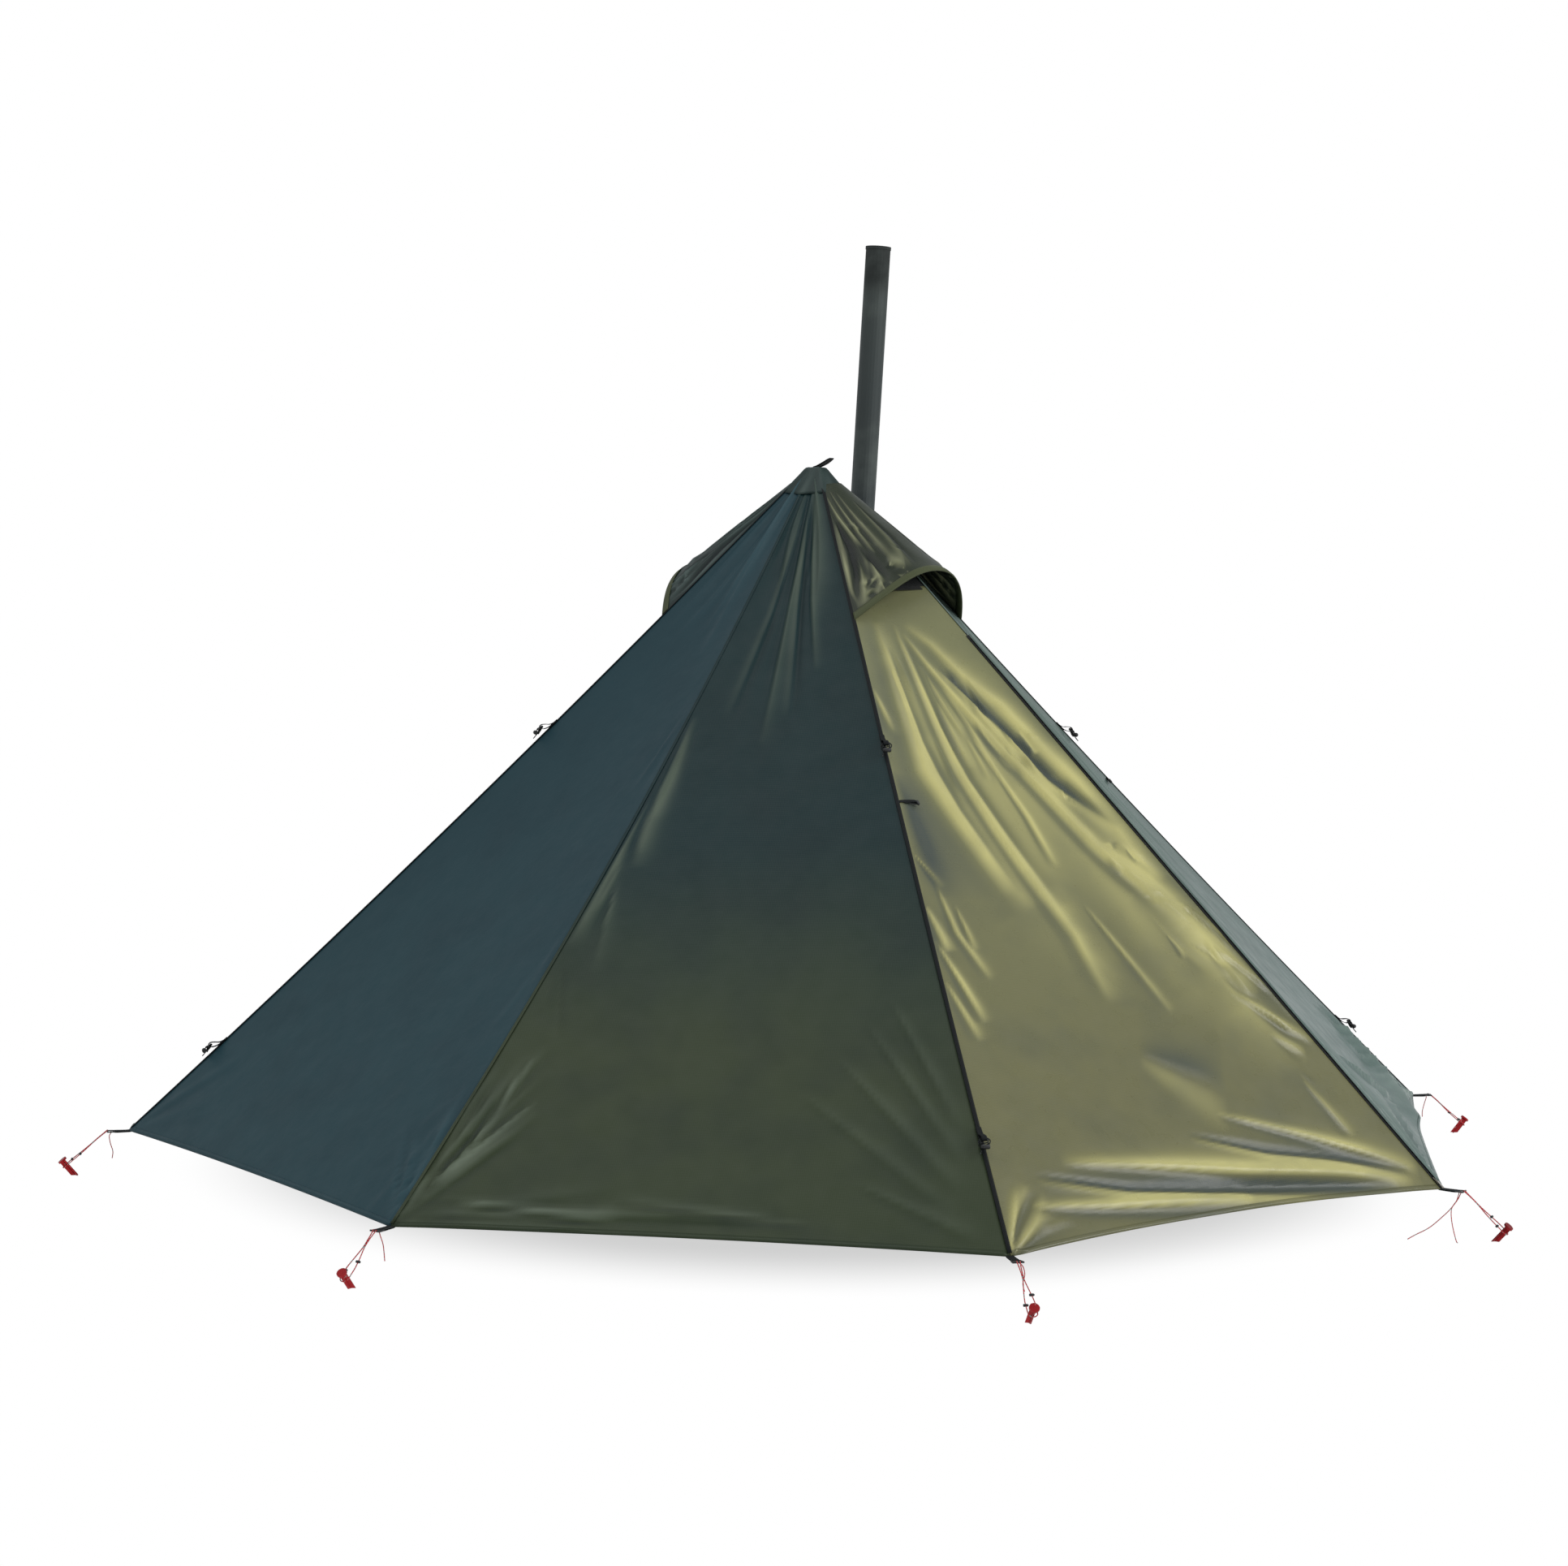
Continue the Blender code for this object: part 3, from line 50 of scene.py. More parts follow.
MM = 0.001
UP = Vector((0.0, 0.0, 1.0))
WHITE = (1.0, 1.0, 1.0, 1.0)
TENT = "pitched_tent"
Place = tuple[float, float]
Spot = tuple[float, float, float]


# Shader helpers


def linear(code: str) -> tuple[float, float, float, float]:
    """Turns a written colour such as "7d7c5a" into scene-linear red, green, blue and alpha."""
    parts = [int(code[i : i + 2], 16) / 255 for i in (0, 2, 4)]
    flat = [c / 12.92 if c <= 0.04045 else ((c + 0.055) / 1.055) ** 2.4 for c in parts]
    return (flat[0], flat[1], flat[2], 1.0)


class Sock:
    """A shader socket that takes part in sums."""

    def __init__(self, graph: "Graph", socket: Any) -> None:
        """Wraps an output socket of one tree."""
        self.graph = graph
        self.socket = socket

    def maths(self, operation: str, *values: Any) -> "Sock":
        """Adds a Math node whose first value is this one."""
        return self.graph.node("ShaderNodeMath", {"operation": operation}, (self, *values))

    def __add__(self, other: Any) -> "Sock":
        """This plus other."""
        return self.maths("ADD", other)

    __radd__ = __add__

    def __mul__(self, other: Any) -> "Sock":
        """This times other."""
        return self.maths("MULTIPLY", other)

    __rmul__ = __mul__

    def __sub__(self, other: Any) -> "Sock":
        """This minus other."""
        return self.maths("SUBTRACT", other)

    def __rsub__(self, other: Any) -> "Sock":
        """Other minus this."""
        return self.graph.node("ShaderNodeMath", {"operation": "SUBTRACT"}, (other, self))

    def __truediv__(self, other: Any) -> "Sock":
        """This over other."""
        return self.maths("DIVIDE", other)

    def __neg__(self) -> "Sock":
        """This with its sign turned."""
        return self * -1.0

    def held(self, low: float = 0.0, high: float = 1.0) -> "Sock":
        """This kept between two limits."""
        return self.maths("MAXIMUM", low).maths("MINIMUM", high)

    def eased(self, low: float, high: float) -> "Sock":
        """0 below low, 1 above high, and smooth between."""
        settings = {"interpolation_type": "SMOOTHSTEP"}
        return self.graph.node("ShaderNodeMapRange", settings, {0: self, 1: low, 2: high, 3: 0.0, 4: 1.0})

    def stripes(self, pitch: float, share: float) -> "Sock":
        """1 on a share of each pitch and 0 on the rest."""
        return (self / pitch).maths("FRACT").maths("LESS_THAN", share)

    def waves(self, pitch: float) -> "Sock":
        """A sine of that pitch, from -1 to 1."""
        return (self * (math.tau / pitch)).maths("SINE")


class Graph:
    """The node tree of a material or of the world."""

    def __init__(self, owner: Any, end: str = "ShaderNodeOutputMaterial") -> None:
        """Empties the owner's tree, which is to end in a node of that type."""
        self.owner = owner
        self.end = end
        owner.use_nodes = True
        self.tree = owner.node_tree
        self.tree.nodes.clear()

    def node(
        self, kind: str, settings: dict[str, Any] | None = None, inputs: Any = (), output: Any = 0
    ) -> Sock:
        """Adds a node.

        Args:
            kind: The node's type.
            settings: What is set on the node before its sockets; "stops" are a colour ramp's.
            inputs: Values or links of its sockets, in order or by key.
            output: The socket that is handed back.

        Returns:
            The output socket.
        """
        made = self.tree.nodes.new(kind)
        for key, value in (settings or {}).items():
            if key == "stops":
                ramp = made.color_ramp
                while len(ramp.elements) < len(value):
                    ramp.elements.new(0.5)
                for element, (position, colour) in zip(ramp.elements, value):
                    element.position = position
                    element.color = colour
            else:
                setattr(made, key, value)
        pairs = inputs.items() if isinstance(inputs, dict) else enumerate(inputs)
        for key, value in pairs:
            if isinstance(value, Sock):
                self.tree.links.new(value.socket, made.inputs[key])
            elif value is not None:
                made.inputs[key].default_value = value
        return Sock(self, made.outputs[output])

    def place(self, space: str = "Object") -> Sock:
        """The point that is shaded, in Object or UV coordinates."""
        return self.node("ShaderNodeTexCoord", output=space)

    def axis(self, vector: Sock, which: str) -> Sock:
        """One axis of a vector."""
        return self.node("ShaderNodeSeparateXYZ", inputs=(vector,), output=which)

    def stretched(self, vector: Sock, scale: Spot) -> Sock:
        """A vector scaled axis by axis."""
        return self.node("ShaderNodeVectorMath", {"operation": "MULTIPLY"}, (vector, scale))

    def attribute(self, name: str) -> Sock:
        """A number that is stored on the mesh."""
        return self.node("ShaderNodeAttribute", {"attribute_name": name}, output="Fac")

    def ray(self, kind: str) -> Sock:
        """1 for rays of that kind, such as "Is Camera Ray"."""
        return self.node("ShaderNodeLightPath", output=kind)

    def noise(self, vector: Sock, scale: float, detail: float = 3.0, rough: float = 0.55) -> Sock:
        """Cloudy noise between about 0.3 and 0.7."""
        return self.node("ShaderNodeTexNoise", inputs={0: vector, 2: scale, 3: detail, 4: rough})

    def threads(self, flat: Sock, pitch: float, share: float) -> Sock:
        """1 on the threads of a square grid, each as wide as a share of the pitch."""
        across, along = (self.axis(flat, which).stripes(pitch, share) for which in "XY")
        return across.maths("MAXIMUM", along)

    def mix(self, factor: Any, first: Any, second: Any) -> Sock:
        """A colour between two colours."""
        return self.node("ShaderNodeMix", {"data_type": "RGBA"}, {0: factor, 6: first, 7: second}, 2)

    def bump(self, height: Sock, distance: float, strength: float = 1.0, normal: Sock | None = None) -> Sock:
        """A normal from a height."""
        sockets = {"Strength": strength, "Distance": distance, "Height": height, "Normal": normal}
        return self.node("ShaderNodeBump", inputs=sockets)

    def ended(self, shader: Sock) -> Any:
        """Ends the tree in a shader, and hands back the material or world."""
        end = self.tree.nodes.new(self.end)
        self.tree.links.new(shader.socket, end.inputs["Surface"])
        return self.owner

    def finish(self, **sockets: Any) -> bpy.types.Material:
        """Ends the tree in a Principled shader.

        Args:
            sockets: Values or links, with underscores for the spaces in socket names.

        Returns:
            The material.
        """
        named = {key.replace("_", " "): value for key, value in sockets.items()}
        return self.ended(self.node("ShaderNodeBsdfPrincipled", inputs=named))


# Finishes


class Finish:
    """A surface finish that makes its material once."""

    name: str
    made: dict[str, bpy.types.Material] = {}

    def tree(self) -> Graph:
        """The empty tree of a new material."""
        return Graph(bpy.data.materials.new(self.name))

    def graph(self) -> bpy.types.Material:
        """Builds the material."""
        raise NotImplementedError

    def material(self) -> bpy.types.Material:
        """The material, built the first time it is asked for."""
        if self.name not in Finish.made:
            Finish.made[self.name] = self.graph()
        return Finish.made[self.name]


@dataclass(frozen=True)
class Silnylon(Finish):
    """Coated nylon with a ripstop grid: painted shade makes it darker in its folds and a painted highlight
    brighter on their crests.
    """

    name: str
    # top and foot are colours blended by height: painted light, with a painted reflection of the sky towards
    # the top.
    top: str
    foot: str
    # crest is the painted highlight colour, also used for the ripstop threads; trough is the painted shade
    # colour, which also darkens random mottled patches.
    crest: str
    trough: str
    roughness: float
    specular: float = 0.12
    coat: float = 0.0
    low: float = 0.3
    high: float = 1.5
    ripstop: float = 5 * MM

    def graph(self) -> bpy.types.Material:
        """Two colours over the height as painted light and sky reflection, painted highlight and shade from
        the mesh's fold numbers, fine creases and the ripstop grid.
        """
        g = self.tree()
        at = g.place()
        cloud = g.noise(at, 1.3, 2.0)
        height = g.axis(at, "Z") + (cloud - 0.5) * 0.3
        # Painted light and sky reflection: the colour goes from foot to top by height.
        body = g.mix(height.eased(self.low, self.high), linear(self.foot), linear(self.top))
        # Painted highlight on the fold crests and painted shade in their troughs, from the mesh's fold
        # numbers.
        fold = g.attribute("fold")
        body = g.mix(fold.held(), body, linear(self.crest))
        body = g.mix((-fold).held(), body, linear(self.trough))
        mottle = g.noise(at, 5.0, 2.0)
        body = g.mix((mottle - 0.42).held() * 0.9, body, linear(self.trough))
        grid = g.threads(g.place("UV"), self.ripstop, 0.12)
        body = g.mix(grid * 0.1, body, linear(self.crest))
        creases = g.noise(at, 16.0, 3.0, 0.55)
        weave = g.bump(grid, 0.05 * MM, 0.15, g.bump(creases, 4 * MM, 0.3))
        gloss = (creases - 0.5) * 0.25 + self.roughness
        return g.finish(
            Base_Color=body, Roughness=gloss, Normal=weave, Specular_IOR_Level=self.specular,
            Coat_Weight=self.coat, Coat_Roughness=0.25,
        )


@dataclass(frozen=True)
class Webbing(Finish):
    """Woven tape: ribs across it, and a paler line of stitches along each edge."""

    name: str
    colour: str
    stitch: str
    rib: float
    edge: float
    thread: float = 0.35 * MM
    stitch_pitch: float = 3.2 * MM

    def graph(self) -> bpy.types.Material:
        """Ribs from the tape's own UV map, which runs in metres."""
        g = self.tree()
        flat = g.place("UV")
        across, along = g.axis(flat, "X"), g.axis(flat, "Y")
        ribs = along.waves(self.rib) * 0.5 + 0.5
        fibre = g.noise(g.place(), 900.0, 2.0)
        colour = g.mix(ribs * 0.2 + fibre * 0.15, linear(self.colour), linear("2c3032"))
        row = across.maths("ABSOLUTE").maths("COMPARE", self.edge, self.thread)
        colour = g.mix(row * along.stripes(self.stitch_pitch, 0.7), colour, linear(self.stitch))
        normal = g.bump(ribs, 0.3 * MM, 0.6)
        return g.finish(
            Base_Color=colour, Roughness=fibre * 0.2 + 0.6, Normal=normal, Specular_IOR_Level=0.15
        )


@dataclass(frozen=True)
class TwistedCord(Finish):
    """A thin braided cord in two colours that wind round it."""

    name: str
    main: str
    tracer: str
    lay: float = 9 * MM

    def graph(self) -> bpy.types.Material:
        """The braid follows the cord's UV map: round it in turns and along it in metres."""
        g = self.tree()
        flat = g.place("UV")
        turn, along = g.axis(flat, "X"), g.axis(flat, "Y")
        left = (turn + along / self.lay).maths("FRACT")
        right = (turn - along / self.lay).maths("FRACT")
        patches = g.noise(g.node("ShaderNodeCombineXYZ", inputs=(0.0, along, 0.0)), 26.0, 1.0)
        block = patches.maths("GREATER_THAN", 0.58) * right.maths("LESS_THAN", 0.6)
        tracer = left.maths("LESS_THAN", 0.2).maths("MAXIMUM", block)
        colour = g.mix(tracer, linear(self.main), linear(self.tracer))
        strands = left.waves(1 / 3) * right.waves(1 / 3)
        normal = g.bump(strands, 0.3 * MM, 0.8)
        return g.finish(Base_Color=colour, Roughness=0.72, Normal=normal, Specular_IOR_Level=0.2)


@dataclass(frozen=True)
class Metal(Finish):
    """Metal or paint on it, with streaks along one axis, stains and worn places."""

    name: str
    colour: str
    stain: str
    metallic: float
    roughness: float
    streaks: Spot = (60.0, 60.0, 2.0)
    wear: str = "8a8a88"
    worn: float = 0.0

    def graph(self) -> bpy.types.Material:
        """Stains and streaks change the colour and the roughness together."""
        g = self.tree()
        at = g.place()
        drawn = g.noise(g.stretched(at, self.streaks), 1.0, 4.0)
        stains = g.noise(at, 7.0, 5.0, 0.65).eased(0.42, 0.66)
        colour = g.mix(stains, linear(self.colour), linear(self.stain))
        chips = g.noise(at, 85.0, 4.0, 0.7).eased(0.62, 0.7) * self.worn
        colour = g.mix(chips, colour, linear(self.wear))
        gloss = drawn * 0.22 + stains * 0.12 + (self.roughness - 0.14)
        normal = g.bump(drawn, 0.12 * MM, 0.5)
        return g.finish(Base_Color=colour, Metallic=self.metallic, Roughness=gloss, Normal=normal)


@dataclass(frozen=True)
class FlueSteel(Finish):
    """Sheet-steel pipe: rolled, blued by heat above the stove and sooty at its mouth."""

    name: str = "flue_steel_look"
    tints: tuple[tuple[float, str], ...] = (
        (0.0, "2b2e33"), (0.35, "34353d"), (0.55, "343a3c"), (1.0, "3e4442"),
    )

    def graph(self) -> bpy.types.Material:
        """Tint by height, with rolling streaks along the pipe."""
        g = self.tree()
        at = g.place()
        height = g.axis(at, "Z")
        drawn = g.noise(g.stretched(at, (90.0, 90.0, 1.6)), 1.0, 4.0)
        cloud = g.noise(at, 4.0, 4.0, 0.6)
        stops = tuple((share, linear(code)) for share, code in self.tints)
        warmth = ((height - 0.4) / 2.4) + (cloud - 0.5) * 0.5
        tint = g.node("ShaderNodeValToRGB", {"stops": stops}, (warmth,))
        soot = (height + (cloud - 0.5) * 0.16).eased(2.70, 2.775)
        colour = g.mix(soot * 0.7, tint, linear("191b1b"))
        colour = g.mix(cloud.eased(0.5, 0.75) * 0.4, colour, linear("5d6460"))
        gloss = drawn * 0.2 + 0.42 + soot * 0.2
        normal = g.bump(drawn, 0.2 * MM, 0.5)
        return g.finish(
            Base_Color=colour, Metallic=0.25, Roughness=gloss, Specular_IOR_Level=0.25, Normal=normal
        )


@dataclass(frozen=True)
class Plastic(Finish):
    """Moulded plastic or rubber with a fine grain."""

    name: str
    colour: str
    roughness: float

    def graph(self) -> bpy.types.Material:
        """A grain in the bump and a slight change of shine."""
        g = self.tree()
        at = g.place()
        cloud = g.noise(at, 30.0, 3.0)
        colour = g.mix((cloud - 0.45).held(), linear(self.colour), linear("4b4d4c"))
        normal = g.bump(g.noise(at, 700.0, 2.0), 0.15 * MM, 0.5)
        return g.finish(Base_Color=colour, Roughness=cloud * 0.2 + self.roughness, Normal=normal)


@dataclass(frozen=True)
class ZipCoil(Finish):
    """A coil zip: its teeth run across the seam's line, up the slope."""

    name: str
    slope: Spot
    pitch: float = 2.4 * MM

    def graph(self) -> bpy.types.Material:
        """Teeth as bands along the slope."""
        g = self.tree()
        operation = {"operation": "DOT_PRODUCT"}
        run = g.node("ShaderNodeVectorMath", operation, (g.place(), self.slope), "Value")
        teeth = run.waves(self.pitch) * 0.5 + 0.5
        colour = g.mix(teeth, linear("0d0e0f"), linear("2c2f31"))
        return g.finish(Base_Color=colour, Roughness=0.45, Normal=g.bump(teeth, 0.6 * MM, 0.9))


@dataclass(frozen=True)
class Net(Finish):
    """Fine black net, with its holes cut by alpha."""

    name: str = "vent_net_look"
    pitch: float = 1.6 * MM

    def graph(self) -> bpy.types.Material:
        """Threads both ways at the net's pitch."""
        g = self.tree()
        threads = g.threads(g.place("UV"), self.pitch, 0.4)
        colour = g.mix(g.noise(g.place(), 60.0), linear("0b0c0c"), linear("1d201f"))
        return g.finish(Base_Color=colour, Roughness=0.85, Alpha=threads)


@dataclass(frozen=True)
class JackCloth(Finish):
    """Coated glass cloth, with a weave and stains."""

    name: str = "jack_cloth_look"
    pitch: float = 2 * MM

    def graph(self) -> bpy.types.Material:
        """A plain weave over a stained grey."""
        g = self.tree()
        flat, at = g.place("UV"), g.place()
        weave = g.axis(flat, "X").waves(self.pitch) * g.axis(flat, "Y").waves(self.pitch)
        stains = g.noise(at, 14.0, 4.0)
        colour = g.mix(stains.eased(0.4, 0.7), linear("8b8f8d"), linear("6d6c66"))
        return g.finish(Base_Color=colour, Roughness=0.75, Normal=g.bump(weave, 0.4 * MM, 0.6))


@dataclass(frozen=True)
class Floor(Finish):
    """A white floor that shows the shadow near the tent and is white to the camera farther out."""

    name: str = "studio_floor"
    near: float = 1.35
    far: float = 1.95

    def graph(self) -> bpy.types.Material:
        """Paint with the faintest cloud in it. To the camera it partly glows, and wholly far out."""
        g = self.tree()
        at = g.place()
        colour = g.mix(g.noise(at, 0.7, 2.0), linear("fafafa"), linear("f8f8f8"))
        reach = g.node("ShaderNodeVectorMath", {"operation": "LENGTH"}, (at,), "Value")
        seen = g.ray("Is Camera Ray").maths("MAXIMUM", g.ray("Is Glossy Ray"))
        paint = g.node("ShaderNodeBsdfDiffuse", inputs={"Color": colour})
        glow = g.node("ShaderNodeEmission", inputs={"Color": WHITE, "Strength": 1.0})
        share = seen * (reach.eased(self.near, self.far) * 0.38 + 0.62)
        return g.ended(g.node("ShaderNodeMixShader", inputs=(share, paint, glow)))


class Looks:
    """The finishes of the tent."""

    # One green cloth in painted lit and shaded copies: sunlight on the khaki doors, shade and the sky's
    # reflection on the teal sides and grey-blue doors. The front and rear hoods are a lit and a shaded copy,
    # and the crown takes a colour between them.
    side_painted_sky_shade = Silnylon("cloth_teal", "223b42", "243f46", "3a555c", "1a2f37", 0.42)
    side_painted_shade_gradient = Silnylon("cloth_olive_side", "0f282b", "343d2a", "616b5b", "0f1d20", 0.42, low=0.5, high=1.1)
    door_painted_sunlight = Silnylon("cloth_khaki", "6f7050", "626142", "b3ad72", "3c4440", 0.3, 0.25, 0.04)
    door_painted_sky_reflection = Silnylon("cloth_grey_green", "55645e", "576863", "78877f", "3d4a46", 0.35, 0.2)
    hood = Silnylon("cloth_hood", "2a3026", "2c3022", "8a8c6c", "0c1214", 0.36)
    hood_rear = Silnylon("cloth_hood_rear", "27322f", "27322f", "4d5a57", "141c1d", 0.4, 0.1)
    crown = Silnylon("cloth_crown", "2b3836", "2b3836", "4b5752", "18201d", 0.42)
    binding = Silnylon("brim_binding_look", "42472f", "42472f", "646a50", "33392a", 0.5)
    tape = Webbing("ridge_tape", "0b0d0e", "24282a", 1.3 * MM, 3.6 * MM)
    strap = Webbing("webbing_strap", "0c0e0f", "3c4040", 1.6 * MM, 9.5 * MM)
    cord = TwistedCord("guy_cord", "bb2029", "8c938f")
    shock_cord = TwistedCord("black_cord", "151718", "3b3f3e")
    peg = Metal("peg_red", "9b1a20", "7d1519", 0.75, 0.4, wear="b9b2ac", worn=0.5)
    pole = Metal("pole_alloy_look", "a4a7a9", "8f9294", 1.0, 0.36)
    stove = Metal("stove_paint", "232425", "2d2926", 0.35, 0.62, (30.0, 30.0, 30.0), "6b5a4a", 0.25)
    steel = Metal("stove_steel_look", "9b9a97", "7b746a", 1.0, 0.38, (80.0, 8.0, 8.0))
    flue = FlueSteel()
    buckle = Plastic("buckle_plastic", "141617", 0.42)
    rubber = Plastic("foot_rubber", "18191a", 0.7)
    net = Net()
    jack = JackCloth()


# Geometry of the tent


def unit(vector: np.ndarray) -> np.ndarray:
    """The same vector or vectors at length 1."""
    return vector / np.linalg.norm(vector, axis=-1, keepdims=True)


def eased(value: np.ndarray) -> np.ndarray:
    """0 to 1, smoothly."""
    held = np.clip(value, 0, 1)
    return held * held * (3 - 2 * held)


class Seam(Enum):
    """What runs down the seam at a corner."""

    PLAIN = "plain"
    RIDGE = "ridge"
    ZIP = "zip"


@dataclass(frozen=True)
class TentShape:
    """The sizes that the tent's solids were built from, and its seams."""

    radius: float = 2.06
    height: float = 2.155
    hem: float = 0.13
    ridge_sag: float = 0.02
    side_sag: float = 0.065
    bow: float = 0.018
    zip_top: float = 0.25
    hood_end: float = 0.235

    @property
    def fall(self) -> float:
        """From the peak down to the hem."""
        return self.height - self.hem

    @property
    def seam_length(self) -> float:
        """Peak to corner."""
        return math.hypot(self.radius, self.fall)

    @property
    def side(self) -> float:
        """Corner to corner."""
        return 2 * self.radius * math.sin(math.pi / 8)

    @property
    def gore_length(self) -> float:
        """Peak to the middle of the hem."""
        return math.hypot(self.radius * math.cos(math.pi / 8), self.fall)

    def angle(self, corner: int) -> float:
        """Bearing of a corner; 0 is +X, and they run anticlockwise."""
        return corner * math.pi / 4

    def kind(self, corner: int) -> Seam:
        """The seam that ends at a corner."""
        if corner % 4 == 2:
            return Seam.ZIP
        return Seam.RIDGE if corner % 2 else Seam.PLAIN

    def sag(self, corner: int) -> float:
        """How far a seam dips; the zips are straight."""
        return {Seam.ZIP: 0.0, Seam.RIDGE: self.ridge_sag, Seam.PLAIN: self.side_sag}[self.kind(corner)]

    def seam(self, corner: int, down: Any) -> np.ndarray:
        """Points on a seam.

        Args:
            corner: The corner it runs to.
            down: One share, or an array of shares, from the peak down.

        Returns:
            An array with x, y, z last.
        """
        down = np.asarray(down, float)
        dip = 4 * self.sag(corner) * down * (1 - down)
        reach = self.radius * down - dip * self.fall / self.seam_length
        height = self.height - self.fall * down - dip * self.radius / self.seam_length
        angle = self.angle(corner)
        return np.stack((reach * math.cos(angle), reach * math.sin(angle), height), axis=-1)

    def normal(self, gore: int) -> np.ndarray:
        """Which way a gore faces, outwards."""
        peak, first, second = self.seam(gore, 0), self.seam(gore, 1), self.seam(gore + 1, 1)
        return unit(np.cross(first - peak, second - peak))

    def crest(self, corner: int) -> np.ndarray:
        """Which way a seam faces, between the two gores that it joins."""
        return unit(self.normal((corner - 1) % 8) + self.normal(corner % 8))

    def into(self, corner: int, gore: int) -> np.ndarray:
        """Square to a seam, in the gore's plane, pointing into the gore.

        Args:
            corner: The corner that the seam runs to.
            gore: One of the two gores beside it.

        Returns:
            The direction, at length 1.
        """
        side = np.cross(self.normal(gore), unit(self.seam(corner, 1) - self.seam(corner, 0)))
        other = self.seam(gore + 1 if corner % 8 == gore % 8 else gore, 1) - self.seam(corner, 1)
        return side if side @ other > 0 else -side


SHAPE = TentShape()

CORNER_NAMES = ("right", "back_right", "back", "back_left", "left", "front_left", "front", "front_right")
BACK, FRONT_LEFT, FRONT = (CORNER_NAMES.index(name) for name in ("back", "front_left", "front"))


# Folds of the cloth


@dataclass(frozen=True)
class Fold:
    """A fold of the cloth along a route of places on the gore, each as shares across and down."""

    route: tuple[Place, ...]
    depth: float
    width: float
    # shine paints a highlight along the fold, or shade where it is negative; a fold of no depth is painted
    # light only.
    shine: float = 0.0
    bend: float = 0.0


@dataclass(frozen=True)
class Fan:
    """Folds that spread from a place where the cloth is pulled."""

    at: Place
    first: Place
    last: Place
    count: int
    depth: float
    width: float
    # shine paints highlights along the fan's folds.
    shine: float = 0.3

    def folds(self, chance: random.Random) -> list[Fold]:
        """The single folds, each a little different.

        Args:
            chance: A seeded source of the differences.

        Returns:
            The folds.
        """
        made = []
        for step in range(self.count):
            share = (step + chance.uniform(0.2, 0.8)) / self.count
            reach = chance.uniform(0.65, 1.0)
            end = [self.first[k] + (self.last[k] - self.first[k]) * share for k in (0, 1)]
            end = [self.at[k] + (end[k] - self.at[k]) * reach for k in (0, 1)]
            size = chance.uniform(0.55, 1.1)
            made.append(
                Fold(
                    (self.at, (end[0], end[1])), self.depth * size, self.width * chance.uniform(0.7, 1.3),
                    self.shine * chance.uniform(0.4, 1.2), chance.uniform(-0.02, 0.02),
                )
            )
        return made


@dataclass(frozen=True)
class Crumple:
    """Short folds strewn over an area between two places, all lying roughly one way."""

    first: Place
    last: Place
    lean: Place
    spread: float
    count: int
    depth: float
    width: float
    # shine paints highlights along the short folds, and shade where it turns negative.
    shine: float = 0.4

    def folds(self, chance: random.Random) -> list[Fold]:
        """The single folds, each a little different.

        Args:
            chance: A seeded source of the differences.

        Returns:
            The folds.
        """
        made = []
        reach = math.hypot(*self.lean)
        for _ in range(self.count):
            start = [chance.uniform(self.first[k], self.last[k]) for k in (0, 1)]
            size = chance.uniform(0.35, 1.3)
            stray = [reach * self.spread * chance.uniform(-1, 1) for _ in (0, 1)]
            end = [start[k] + (self.lean[k] + stray[k]) * size for k in (0, 1)]
            made.append(
                Fold(
                    ((start[0], start[1]), (end[0], end[1])), self.depth * size * chance.choice((1, 1, -0.7)),
                    self.width * chance.uniform(0.6, 1.4), self.shine * chance.uniform(-0.5, 1.3),
                    chance.uniform(-0.01, 0.01),
                )
            )
        return made


Pressed = Fold | Fan | Crumple

